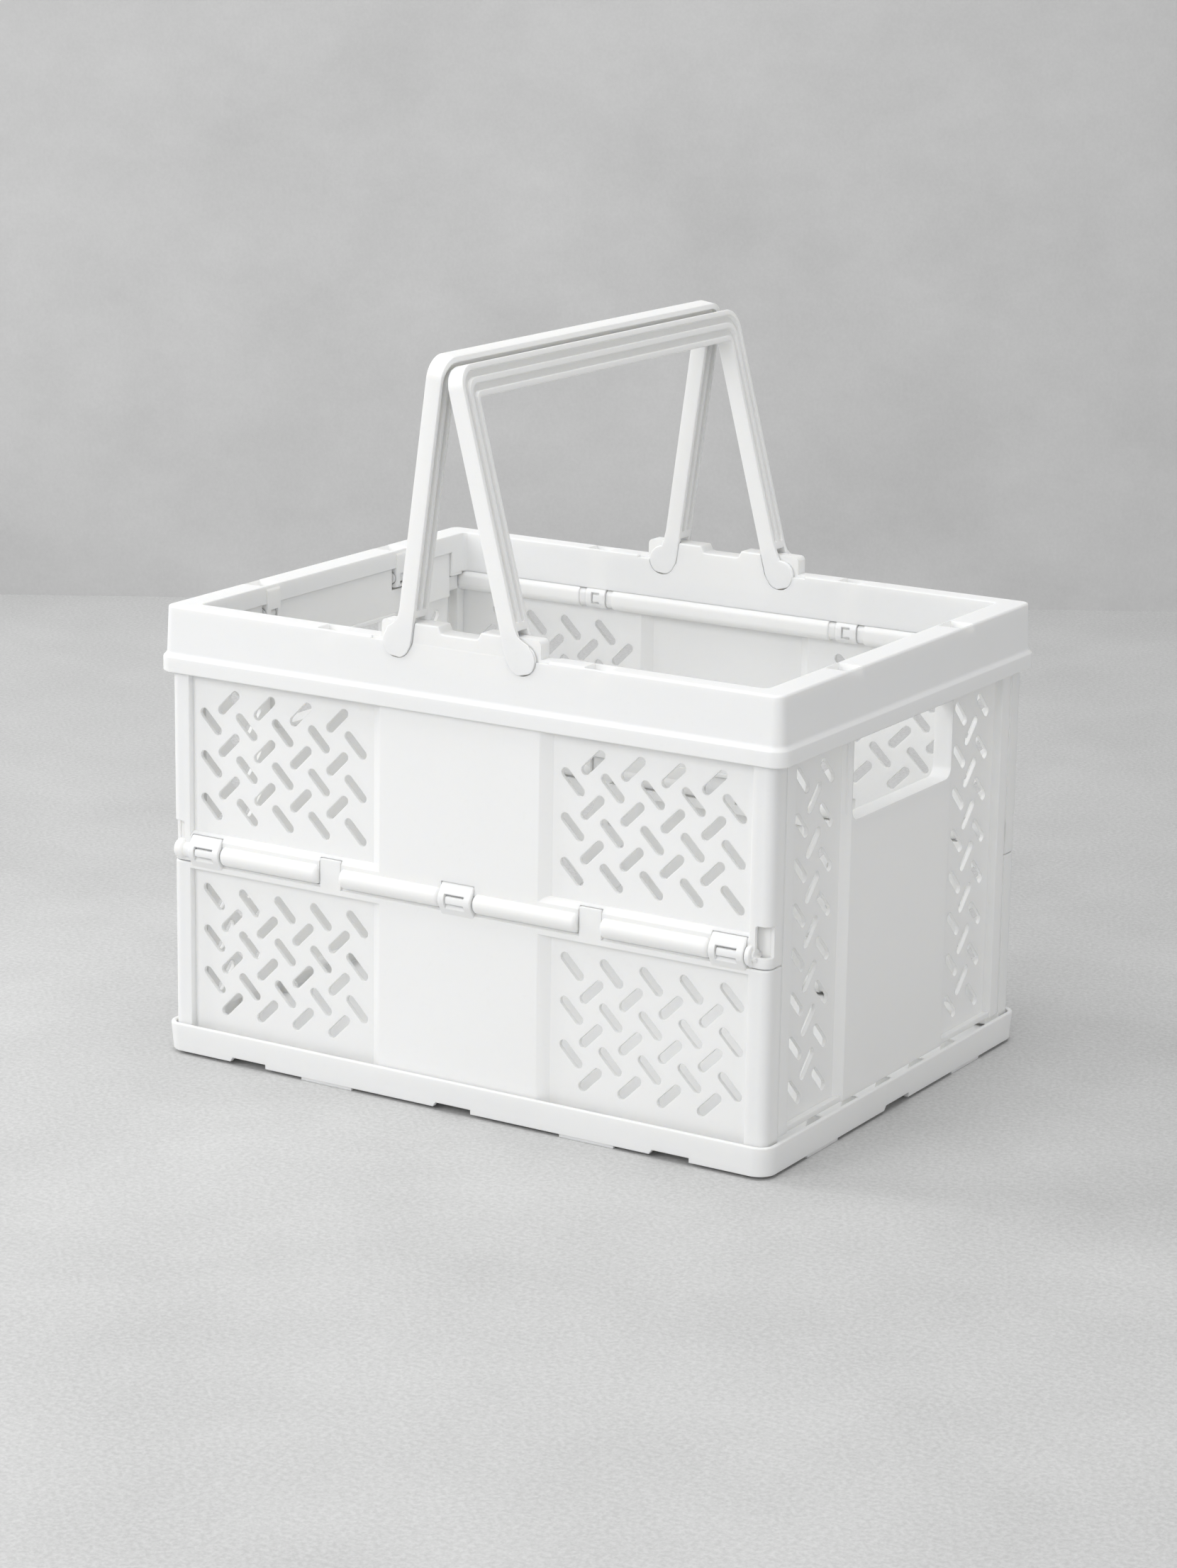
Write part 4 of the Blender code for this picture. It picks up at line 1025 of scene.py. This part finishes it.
@dataclass
class LongWall(Part):
    """Long wall in two halves that meet at the mid hinge. Built as the front one, facing -Y."""

    half_x: float = 169.8
    face: float = -127.95
    field: float = -124.4
    sheet: float = 2.0
    corner: float = 4.6
    flat: float = 45.1
    bevel: float = 50.7
    field_end: float = 158.8
    field_fit: float = 0.3
    post_back: float = -115.9
    post_front: float = 162.5
    post_inset: float = 0.5
    post_soft: Pair = (0.5, 0.15)
    panel_edge: float = 0.9
    lower_z: Pair = (7.3, 100.1)
    upper_z: Pair = (100.45, 203.0)
    ledge: float = 3.1
    ledge_top: Rows = ((0.0, -0.4), (0.4, 0.0), (1.1, 0.0), (1.5, 0.8))     # from (face, top)
    ledge_root: Rows = ((0.6, -1.2), (0.0, -0.7))                           # from (field, under)
    ledge_under: Rows = ((0.5, 0.0), (0.12, 0.15), (0.0, 0.5))              # from (face, under)
    upper_border: float = 116.3
    border_round: Rows = ((0.3, 0.0), (0.0, -0.25), (-0.9, -0.45), (-1.8, -1.0), (-2.5, -1.8))
    border_face: Triple = (0.5, 3.0, 3.2)       # start of the face, its lower and upper end
    rail: float = 4.0
    pitch: float = 21.6
    columns: int = 4                            # on each side of the middle one
    field_centre: float = 104.7
    lower_slots: Triple = (61.8, -0.5, 1.0)     # middle, lift of the rising ones, shift
    upper_slots: Triple = (151.1, 0.5, 0.0)
    mid: Pair = (-126.4, 106.3)
    barrel: float = 5.1
    barrel_run: Triple = (64.9, 85.1, 163.0)
    barrel_edge: float = 0.5
    sleeve_edge: float = 0.2
    low_barrel: float = 4.0
    low_gap: Triple = (7.0, 15.9, -122.3)       # under, top, front
    top_gap: Pair = (197.3, 211.0)
    gap_half: float = 10.0
    sleeve: Triple = (6.3, 10.4, 0.8)           # near, far, thinner by
    pin_half: float = 13.0
    clip: float = 5.5
    clip_top: float = 114.4
    clip_half: float = 9.2
    clip_side: float = 148.6
    clip_soft: float = 0.6
    clip_edge: float = 0.7
    clip_arc: Pair = (214.0, 150.0)
    hook: Pair = (2.4, 2.0)                     # below and above the pin's middle
    window: float = 5.6
    groove: float = 1.1
    groove_deep: float = 2.6
    tongue: Rows = ((2.6, -1.4), (2.6, -2.5), (2.4, -2.8), (1.7, -4.4))
    tab: Pair = (67.7, 80.4)
    tab_top: float = 114.6
    tab_radius: float = 0.9
    tab_edge: float = 0.35
    tab_back: Pair = (0.6, 1.4)                 # behind the face, above the ledge
    fit: float = 0.2
    pin_end: float = 163.4
    pin_edge: float = 0.4
    knobs: tuple[tuple[float, float, float, float], ...] = (
        (5.3, 158.2, 161.0, 0.8), (4.2, -158.2, -162.0, 0.3), (5.1, -161.5, -167.2, 1.8))
    latch_x: float = 162.2
    latch_z: Pair = (105.8, 120.7)
    latch_radius: float = 1.2
    latch_behind: float = 0.8

    @property
    def back(self) -> float:
        """Inner face of the fields."""
        return self.field + self.sheet

    def _plan(self) -> Flat:
        """Wall seen from above: plain centre, recessed fields, corner posts.

        Returns:
            Its outline, as (x, y).
        """
        face, back, field, end = self.face, self.back, self.field, self.field_end
        shift = self.sheet * math.tan(math.atan2(field - face, self.bevel - self.flat) / 2)
        centre = (self.half_x - self.corner, face + self.corner)
        far = end + self.sheet
        soft, middle = self.post_soft
        outer = [(self.flat, face), (self.bevel, field), (end, field), (end, face + soft),
                 (end + middle, face + middle), (end + soft, face),
                 *arc(centre, self.corner, -90, 0, 10), (self.half_x, self.post_back)]
        inner = [(self.flat - shift, face + self.sheet), (self.bevel - shift, back), (far, back),
                 (far, face + self.sheet), *arc(centre, self.corner - self.sheet, -90, 0, 10),
                 (self.half_x - self.sheet, self.post_back)]
        return ([(-x, y) for x, y in reversed(outer)] + outer
                + inner[::-1] + [(-x, y) for x, y in inner])

    def _slots(self, middle: float, lift: float, shift: float) -> Solid:
        """Cutters of the herringbone, both fields.

        Args:
            middle: height of the middle row.
            lift: how far the rising slots sit above the others, in pitches.
            shift: how far all slots sit along X.

        Returns:
            The cutters.
        """
        solid = Solid()
        for side in SIDES:
            for column in range(-self.columns, self.columns + 1):
                rising = column % 2 != 0
                for row in (-1, 0, 1):
                    centre = (side * self.field_centre + shift + column * self.pitch / 2,
                              middle + (row + (lift if rising else 0)) * self.pitch)
                    solid.prism(slot_outline(centre, rising), Axis.Y, self.field - OVER,
                                self.back + OVER)
        return solid

    def _gap(self, near: float, far: float, low: float, high: float) -> Solid:
        """Cutter through the wall's whole thickness."""
        return Solid().block((near, self.face - OVER, low), (far, self.back + OVER, high))

    def _fill_posts(self, shape: Shape, low: float, high: float) -> None:
        """Fill both corner posts behind the fields' inner face.

        Args:
            shape: piece under way.
            low: the half's lower end.
            high: its upper end.
        """
        back, under, over = self.back, low + self.post_inset, high - self.post_inset
        for side in SIDES:
            shape.join(Solid().block((side * self.post_front, back - 1, under),
                                     (side * (self.half_x - self.sheet / 2), self.post_back, over)),
                       Solid().block((side * (self.field_end + 1), back - 1, under),
                                     (side * (self.post_front + 1), back, over)))

    def _barrels(self, shape: Shape, profile: Flat, axis: Pair, pin: float, gap: Triple) -> None:
        """Join a barrel in three lengths along a long edge, with a sleeved pin across each gap.

        Args:
            shape: half under way.
            profile: outline of the barrel, as (y, z).
            axis: middle of its pin, as (y, z).
            pin: radius of the pin.
            gap: under, top and front of the cut at each clip.
        """
        low, high, front = gap
        inner, outer, end = self.barrel_run
        near, far, thinner = self.sleeve
        for place in LONG_CLIPS:
            shape.cut(Solid().block((place - self.gap_half, front, low),
                                    (place + self.gap_half, self.post_back, high)))
        for start, stop in ((-end, -outer), (-inner, inner), (outer, end)):
            shape.join(Solid().prism(profile, Axis.X, start, stop, self.barrel_edge))
        for place in LONG_CLIPS:
            for side in SIDES:
                shape.join(Solid().prism(inset(profile, thinner), Axis.X, place + side * near,
                                         place + side * far, self.sleeve_edge))
            shape.join(Solid().rod(Axis.X, axis, pin, place - self.pin_half, place + self.pin_half))

    def lower(self) -> bpy.types.Mesh:
        """Make the lower half, with the mid hinge's clips and tabs.

        Returns:
            The finished mesh.
        """
        (low, top), face, back, field = self.lower_z, self.face, self.back, self.field
        shape = Shape("lower_panel", Solid().prism(self._plan(), Axis.Z, low, top,
                                             self.panel_edge, 3))
        beyond, under = self.field_end + 1, top - self.ledge
        ledge = [*shifted(self.ledge_top, (face, top)), (back, top + self.ledge_top[-1][1]),
                 (back, under + self.ledge_root[0][1]), *shifted(self.ledge_root, (field, under)),
                 *shifted(self.ledge_under, (face, under))]
        shape.join(Solid().prism(ledge, Axis.X, -beyond, beyond))
        self._fill_posts(shape, low, top)
        shape.cut(self._slots(*self.lower_slots))
        for place in (-self.clip_side, 0, self.clip_side):
            self._clip(shape, place)
        root = top - self.ledge / 2
        for side in SIDES:
            near, far = sorted((side * (self.tab[0] + self.fit), side * (self.tab[1] - self.fit)))
            tab = rectangle((near, root), (far, self.tab_top), self.tab_radius)
            shape.join(Solid().prism(tab, Axis.Y, face, face + self.ledge, self.tab_edge),
                       Solid().block((near, face + self.tab_back[0], root),
                                     (far, back, top + self.tab_back[1])))
        axis = (-LOW_AXIS[0], LOW_AXIS[1])
        self._barrels(shape, arc(axis, self.low_barrel, 0, 350, 35), axis, LOW_PIN, self.low_gap)
        return shape.mesh()

    def _clip(self, shape: Shape, place: float) -> None:
        """Join one arched clip with its hooked groove and bright tongue.

        Args:
            shape: piece under way.
            place: place along X.
        """
        y, z = self.mid
        face, back, top = self.face, self.back, self.clip_top
        start, end = place - self.clip_half, place + self.clip_half
        root, crown, soft = self.lower_z[1] - self.ledge / 2, y - self.clip, self.clip_soft
        arch = [(face, root), *arc((y, z), self.clip, *self.clip_arc, 10), (face, top - soft),
                (face + soft, top), (face + self.ledge, top), (back, z + self.sheet), (back, root)]
        shape.join(Solid().prism(arch, Axis.X, start, end, self.clip_edge, 3))
        shape.cut(Solid().rod(Axis.X, (y, z), PIN + CLEAR, start - OVER, end + OVER))
        wide, arm = self.window, self.groove
        low, high = z - self.hook[0], z + self.hook[1]
        hook = [(-wide, low), (arm - wide, low), (arm - wide, high), (wide, high),
                (wide, high + arm), (-wide, high + arm)]
        shape.cut(Solid().prism([(place + a, b) for a, b in hook], Axis.Y, crown - OVER,
                                crown + self.groove_deep))
        rows = [(crown + deep, z + up) for deep, up in self.tongue]
        tongue = [(crown - OVER, rows[0][1]), *rows, (crown - OVER, rows[-1][1])]
        shape.cut(Solid().prism(tongue, Axis.X, place - wide, place + wide))

    def upper(self) -> bpy.types.Mesh:
        """Make the upper half, with the mid hinge's barrels.

        Returns:
            The finished mesh.
        """
        (low, top), face, back, field = self.upper_z, self.face, self.back, self.field
        z, border = self.mid[1], self.upper_border
        shape = Shape("upper_panel", Solid().prism(self._plan(), Axis.Z, low, top,
                                             self.panel_edge, 3))
        inside, beyond = self.field_end - self.field_fit, self.field_end + 1
        shape.cut(self._gap(-inside, inside, low - OVER, z))
        start, lower, upper = self.border_face
        ledge = [(face + start, z), (back, z), (back, border),
                 *shifted(self.border_round, (field, border)), (face, border - upper),
                 (face, z + lower)]
        shape.join(Solid().prism(ledge, Axis.X, -beyond, beyond),
                   Solid().block((-beyond, face, top - self.rail), (beyond, back, top)))
        half = self.clip_half + self.fit
        for place in (-self.clip_side, 0, self.clip_side):
            shape.cut(self._gap(place - half, place + half, z - OVER, self.clip_top + self.fit))
        for near, far in ((-self.tab[1], -self.tab[0]), self.tab):
            shape.cut(self._gap(near, far, z - OVER, self.tab_top + self.fit))
        self._fill_posts(shape, low, top)
        shape.cut(self._slots(*self.upper_slots))
        self._mid_barrels(shape)
        self._barrels(shape, turned(rounded(*TOP_CASE), 0, (-TOP_AXIS[0], TOP_AXIS[1])),
                      (-TOP_AXIS[0], TOP_AXIS[1]), PIN, (*self.top_gap, face - OVER))
        return shape.mesh()

    def _mid_barrels(self, shape: Shape) -> None:
        """Join the mid hinge's barrels, pins and end knobs and cut the latch windows.

        Args:
            shape: piece under way.
        """
        first, last = self.clip_half + CLEAR, self.clip_side - self.clip_half - CLEAR
        for side in SIDES:
            for start, end in ((first, self.tab[0]), (self.tab[1], last)):
                shape.join(Solid().rod(Axis.X, self.mid, self.barrel, side * (start + self.fit),
                                       side * (end - self.fit), edge=2.0))
            shape.join(Solid().rod(Axis.X, self.mid, PIN, side * (last - OVER),
                                   side * self.pin_end, self.pin_edge))
            near, far = sorted((side * self.latch_x, side * (self.half_x + OVER)))
            window = rectangle((near, self.latch_z[0]), (far, self.latch_z[1]),
                               self.latch_radius)
            shape.cut(Solid().prism(window, Axis.Y, self.face - OVER,
                                    self.field + self.latch_behind))
        shape.join(Solid().rod(Axis.X, self.mid, PIN, -first - OVER, first + OVER),
                   *(Solid().rod(Axis.X, self.mid, *knob) for knob in self.knobs))

    def dress(self) -> None:
        """Set both walls in the scene, the back one turned half round."""
        for half, mesh in ((Half.LOWER, self.lower()), (Half.UPPER, self.upper())):
            for side, matrix in (("front", AS_BUILT), ("back", HALF_TURN)):
                name = f"{side}_{half.value}"
                self.place(name + "_panel", mesh, Body.BASKET, name, "wall_plastic", matrix)


@dataclass
class EndWall(Part):
    """End wall that hangs from the rim on two pins, with a lipped hand hole."""

    proud: float = 169.6
    recessed: float = 165.3
    sheet: float = 2.0
    edge: float = 0.3
    sheet_edge: float = 0.4
    half_y: float = 115.0
    centre: float = 51.4
    bevel: float = 55.0
    flange: float = 106.2
    flange_soft: float = 0.4
    side_soft: float = 0.5
    under: float = 16.6
    border: float = 19.4
    top: float = 200.0
    rail: float = 2.0
    barrel: float = 5.0
    band: Triple = (160.3, 195.0, 219.3)           # inner face, under, top
    band_half: float = 105.2
    band_edge: float = 0.6
    corner: Triple = (161.8, 104.7, 205.5)         # inner face, start, top
    clip_gaps: Rows = ((5.75, 169.6), (7.3, 161.8))   # half width, reach outward
    gap_under: float = 1.2
    pin_half: float = 6.2
    latch_low: Triple = (163.6, 113.6, 109.0)
    latch_high: Triple = (167.2, 115.5, 119.0)
    latch_edge: float = 0.2
    row_y: float = 80.7
    row_step: float = 12.0
    slot: Pair = (2.6, 6.0)
    low_z: float = 31.9
    pitch: float = 21.45
    rows: int = 8
    hand_half: float = 51.3
    hand_z: Pair = (154.2, 193.0)
    hand_radius: float = 6.0
    lip_deep: float = 10.0
    lip_inset: float = 1.5
    lip_wall: float = 2.2
    lip_edge: float = 0.5

    def _plan(self) -> Flat:
        """Wall seen from above.

        Returns:
            Its outline, as (x, y).
        """
        proud, field, flange, half = self.proud, self.recessed, self.flange, self.half_y
        shift = self.sheet * math.tan(math.atan2(proud - field, self.bevel - self.centre) / 2)
        back, deep = proud - self.sheet, field - self.sheet
        outer = [(proud, self.centre), (field, self.bevel), (field, flange),
                 (proud - self.flange_soft, flange), (proud, flange + self.flange_soft),
                 (proud, half - self.side_soft), (proud - self.side_soft, half)]
        inner = [(back, self.centre - shift), (deep, self.bevel - shift),
                 (deep, flange + self.sheet), (back, flange + self.sheet), (back, half)]
        return ([(x, -y) for x, y in reversed(outer)] + outer
                + inner[::-1] + [(x, -y) for x, y in inner])

    def _hand(self, grow: float) -> Flat:
        """Hand hole with round lower corners, grown by the lip's thickness.

        Args:
            grow: how far the outline moves outward.

        Returns:
            Its outline, as (y, z).
        """
        half, radius = self.hand_half + grow, self.hand_radius + grow
        low, high = self.hand_z[0] - grow, self.hand_z[1] + grow
        return [(half, high), (-half, high),
                *arc((-half + radius, low + radius), radius, 180, 270, 10),
                *arc((half - radius, low + radius), radius, 270, 360, 10)]

    def _slots(self) -> Solid:
        """Cutters of both strips of slots.

        Returns:
            The cutters.
        """
        solid = Solid()
        for side in SIDES:
            for column in (-1, 0, 1):
                rising = column == 0
                for row in range(self.rows - 1 if rising else self.rows):
                    centre = (side * self.row_y + column * self.row_step,
                              self.low_z + (row + (0.5 if rising else 0)) * self.pitch)
                    solid.prism(slot_outline(centre, rising, *self.slot), Axis.X,
                                self.recessed - self.sheet - OVER, self.recessed + OVER)
        return solid

    def build(self) -> bpy.types.Mesh:
        """Make the right end wall's mesh.

        Returns:
            The finished mesh.
        """
        proud, deep, half, flange = self.proud, self.recessed - self.sheet, self.half_y, self.flange
        front, low, high = self.band
        shape = Shape("end_wall", Solid().prism(self._plan(), Axis.Z, self.under, self.top,
                                           self.sheet_edge))
        shape.join(Solid().block((deep, -half, self.top - self.rail), (proud, half, self.top),
                                 self.edge),
                   Solid().block((front, -self.band_half, low),
                                 (self.recessed, self.band_half, high), self.band_edge),
                   Solid().block((deep, -flange - 1, self.under),
                                 (proud - 1, flange + 1, self.border), self.edge))
        inside = proud - self.lip_deep
        shape.join(Solid().prism(self._hand(self.lip_wall), Axis.X, inside,
                                 proud - self.lip_inset, self.lip_edge))
        shape.cut(Solid().prism(self._hand(0), Axis.X, inside - OVER, proud + OVER), self._slots())
        x, z = END_AXIS
        for place in END_CLIPS:
            for wide, reach in self.clip_gaps:
                shape.cut(Solid().block(
                    (x - self.barrel - OVER, place - wide, z - self.barrel - self.gap_under),
                    (reach, place + wide, z + self.barrel + OVER)))
        inner, start, over = self.corner
        (x, y, z), (far_x, far_y, far_z) = self.latch_low, self.latch_high
        for side in SIDES:
            shape.join(Solid().block((x, side * y, z), (far_x, side * far_y, far_z),
                                     self.latch_edge),
                       Solid().block((inner, side * start, self.top - self.rail),
                                     (self.recessed, side * half, over)))
        for place in END_CLIPS:
            shape.join(Solid().rod(Axis.Y, END_AXIS, PIN, place - self.pin_half,
                                   place + self.pin_half))
        return shape.mesh()

    def dress(self) -> None:
        """Set both end walls in the scene, the left one turned half round."""
        mesh = self.build()
        for side, body, matrix in (("right", Body.END_RIGHT, AS_BUILT),
                                   ("left", Body.END_LEFT, HALF_TURN)):
            self.place(f"end_wall_{side}_panel", mesh, body, f"end_panel_{side}", "end_plastic",
                       matrix)


@dataclass
class Bail(Part):
    """U-shaped carry handle. Its pivot is at the origin and +X points to the basket's middle."""

    outer_y: float = 129.5
    inner_y: float = 117.0
    reach: float = 138.6
    grip: float = 16.0
    deep: float = 8.7
    offset: float = 4.0
    outer_radius: float = 10.5
    inner_radius: float = 2.0
    web: float = 4.6
    soft: float = 0.7
    soft_share: float = 0.06
    soft_middle: Pair = (0.2, 0.29)             # shares of the rounding across and down
    channel_end: Pair = (17.0, 17.6)
    channel_shares: Rows = ((0.17, 0.42), (0.58, 0.83))
    flank_shares: Rows = ((0.012, 0.25), (0.03, 1.0))     # share across, share of the depth
    fork: float = 13.4
    foot_root: float = 15.4
    foot_under: float = -7.0
    heel_start: float = 2.6
    heel: Rows = ((8.15, 0.6), (7.85, -0.9))
    sole: Triple = (-16.0, -214.0, -260.0)      # first angle, last with and without the fillet
    foot_edge: float = 0.5
    skin_edge: float = 0.45
    shoulder: Rows = ((-5.9, 6.3), (-3.9, 8.0), (-2.2, 9.7), (-0.9, 11.6))
    skin: float = 0.8
    core: float = 7.4
    stud: float = 2.5
    stud_long: float = 2.4

    def _line(self, share: float, low: float) -> Flat:
        """U that follows the bail, at a share of the way from its outer to its inner face.

        Args:
            share: 0 on the outer face, 1 on the inner one.
            low: height at which the legs end.

        Returns:
            The line from end to end, as (y, z).
        """
        half = self.outer_y + share * (self.inner_y - self.outer_y)
        top = self.reach - share * self.grip
        radius = self.outer_radius + share * (self.inner_radius - self.outer_radius)
        first, second = self.channel_end
        return [(half, low), (half, first), (half, second),
                *arc((half - radius, top - radius), radius, 0, 90, 14),
                *arc((radius - half, top - radius), radius, 90, 180, 14),
                (-half, second), (-half, first), (-half, low)]

    def _section(self, hollow: bool) -> Flat:
        """Cross-section as (share from outer to inner face, place along X).

        Args:
            hollow: whether the channels are sunk or level with the face.

        Returns:
            Its outline, with as many points either way.
        """
        half, web = self.deep / 2, self.web / 2
        soft, rounding = self.soft, self.soft_share
        across, down = self.soft_middle[0] * rounding, self.soft_middle[1] * soft
        side = [(0.0, half - soft), (across, half - down), (rounding, half)]
        for first, second in self.channel_shares:
            fall = (web if hollow else half) - half
            flank = [(share, half + fall * depth) for share, depth in self.flank_shares]
            side += [(first, half), *((first + share, x) for share, x in flank),
                     *((second - share, x) for share, x in reversed(flank)), (second, half)]
        side += [(1 - rounding, half), (1 - across, half - down), (1.0, half - soft)]
        return side + [(share, -x) for share, x in reversed(side)]

    def _bow(self) -> Solid:
        """Both legs and the grip in one sweep, with two channels on each side.

        Returns:
            The bow, from one leg to the other.
        """
        sections = {hollow: self._section(hollow) for hollow in (False, True)}
        count = len(self._line(0, self.fork))
        rings: list[Ring] = []
        for station in range(count):
            ring = []
            for share, x in sections[2 <= station <= count - 3]:
                y, z = self._line(share, self.fork)[station]
                ring.append(Vector((self.offset + x, y, z)))
            rings.append(ring)
        return Solid().skin(rings)

    def _foot(self, filleted: bool) -> Flat:
        """Round foot that runs up into the leg, its outer shoulder filleted or plain.

        Args:
            filleted: whether the shoulder is filleted.

        Returns:
            Its outline, as (x, z).
        """
        inward, outward = self.offset + self.deep / 2, self.offset - self.deep / 2
        first, fillet, plain = self.sole
        sole = arc((0, 0), FOOT, first, fillet if filleted else plain, 30)
        return [(outward, self.foot_root), (inward, self.foot_root), (inward, self.heel_start),
                *self.heel,
                *((x, max(z, self.foot_under)) for x, z in sole),
                *(self.shoulder if filleted else ())]

    def build(self) -> bpy.types.Mesh:
        """Make a bail's mesh in its own frame.

        Returns:
            The finished mesh.
        """
        shape = Shape("bail", self._bow())
        middle, gap = (self.outer_y + self.inner_y) / 2, self.core / 2 + CLEAR
        face, back, long = middle + gap, middle - gap, self.stud_long
        for side in SIDES:
            for first, second, root, reach in ((face, self.outer_y, face, -long),
                                               (self.inner_y, back, back, long)):
                shape.join(
                    Solid().prism(self._foot(False), Axis.Y, side * first, side * second,
                                  self.foot_edge, 3),
                    Solid().rod(Axis.Y, (0, 0), self.stud, side * (root - reach / 3),
                                side * (root + reach)))
            shape.join(Solid().prism(self._foot(True), Axis.Y, side * (self.outer_y - self.skin),
                                     side * self.outer_y, self.skin_edge, 3))
        return shape.mesh()

    def dress(self) -> None:
        """Set both bails in the scene at their leaning rest."""
        mesh = self.build()
        rows = (("left", Body.BAIL_LEFT, -1, 0.0, LEANS[0]),
                ("right", Body.BAIL_RIGHT, 1, math.pi, LEANS[1]))
        for name, body, side, turn, lean in rows:
            matrix = (Matrix.Translation(Vector((side * PIVOT[0], 0, PIVOT[1])) * MM)
                      @ Euler((0, math.radians(lean), turn)).to_matrix().to_4x4())
            self.place(f"bail_{name}_bow", mesh, body, "handle_" + name, "handle_plastic", matrix)


@dataclass
class Studio:
    """Floor, backdrop, lamps and camera."""

    camera_place: Triple = (1.0027, -1.6470, 0.6297)
    yaw: float = 31.633
    pitch: float = 14.347
    roll: float = 0.849
    lens: float = 91.338
    sensor: float = 36.0
    shift: float = 0.0060
    clip: Pair = (0.05, 60.0)
    floor_half: float = 8.0
    wall_distance: float = 3.03
    wall_half: float = 2.0
    wall_high: float = 1.6
    world: float = 0.38
    aim: Triple = (0.0, 0.0, 0.1)
    lamps: tuple[tuple[str, Triple, float, float], ...] = (     # name, place, side, watts
        ("overhead", (0.2, -0.2, 2.4), 1.6, 24.0), ("front", (0.5, -2.6, 1.1), 1.2, 8.6),
        ("left", (-2.3, -0.4, 1.3), 1.2, 29.0), ("near", (-0.9, -2.0, 1.3), 1.0, 15.6),
        ("right", (2.3, -0.9, 0.8), 1.4, 7.0))
    floor: PlasterFinish = PlasterFinish("floor_plaster")
    wall: PlasterFinish = PlasterFinish("wall_plaster", (0.65, 0.65, 0.65), (0.5, 0.5, 0.5), 0.4,
                                        0.15, True)

    def _sheet(self, name: str, corners: list[Vector], finish: PlasterFinish) -> None:
        """Add one flat sheet of the stage.

        Args:
            name: name of the sheet.
            corners: its four corners, in metres.
            finish: its finish.
        """
        mesh = bpy.data.meshes.new(name)
        mesh.from_pydata([tuple(corner) for corner in corners], [], [(0, 1, 2, 3)])
        mesh.materials.append(finish.material())
        item = bpy.data.objects.new(name, mesh)
        bpy.context.scene.collection.objects.link(item)

    def stage(self) -> None:
        """Lay the floor and stand the backdrop behind it."""
        far, yaw = self.floor_half, math.radians(self.yaw)
        corners = [Vector((x * far, y * far, 0)) for x, y in ((-1, -1), (1, -1), (1, 1), (-1, 1))]
        self._sheet("floor", corners, self.floor)
        facing = Vector((-math.sin(yaw), math.cos(yaw), 0))
        along = Vector((facing.y, -facing.x, 0)) * self.wall_half
        foot = Vector((*self.camera_place[:2], 0)) + facing * self.wall_distance
        rise = Vector((0, 0, self.wall_high))
        corners = [foot - along, foot + along, foot + along + rise, foot - along + rise]
        self._sheet("backdrop", corners, self.wall)

    def light(self) -> None:
        """Set the even surround and the square soft lamps that face the basket."""
        world = bpy.data.worlds.new("surround")
        world.use_nodes = True
        surround = world.node_tree.nodes["Background"]
        surround.inputs[0].default_value = (1, 1, 1, 1)
        surround.inputs[1].default_value = self.world
        bpy.context.scene.world = world
        for name, place, size, power in self.lamps:
            data = bpy.data.lights.new(name, "AREA")
            data.size, data.energy = size, power
            lamp = bpy.data.objects.new(name, data)
            lamp.location = place
            aim = Vector(self.aim) - Vector(place)
            lamp.rotation_euler = aim.to_track_quat("-Z", "Y").to_euler()
            bpy.context.scene.collection.objects.link(lamp)

    def camera(self) -> None:
        """Stand the camera where the photograph was taken from."""
        yaw, pitch, roll = (math.radians(angle) for angle in (self.yaw, self.pitch, self.roll))
        level = math.cos(pitch)
        ahead = Vector((-math.sin(yaw) * level, math.cos(yaw) * level, -math.sin(pitch)))
        right = Vector((math.cos(yaw), math.sin(yaw), 0))
        up = right.cross(ahead)
        local_x = right * math.cos(roll) + up * math.sin(roll)
        local_y = up * math.cos(roll) - right * math.sin(roll)
        data = bpy.data.cameras.new("camera")
        data.lens, data.sensor_width, data.sensor_fit = self.lens, self.sensor, "AUTO"
        data.shift_x = self.shift
        data.clip_start, data.clip_end = self.clip
        item = bpy.data.objects.new("camera", data)
        turn = Matrix((local_x, local_y, -ahead)).transposed().to_4x4()
        item.matrix_world = Matrix.Translation(Vector(self.camera_place)) @ turn
        bpy.context.scene.collection.objects.link(item)
        bpy.context.scene.camera = item

    def build(self) -> None:
        """Make the whole studio."""
        self.stage()
        self.light()
        self.camera()
        bpy.context.scene.view_settings.view_transform = "Standard"


def main() -> None:
    """Build every sub-assembly in order."""
    logging.basicConfig(level=logging.INFO, format="%(name)s: %(message)s")
    Studio().build()
    for part in (BaseTray(), LongWall(), EndWall(), TopRim(), Bail()):
        part.dress()


if __name__ == "__main__":
    main()
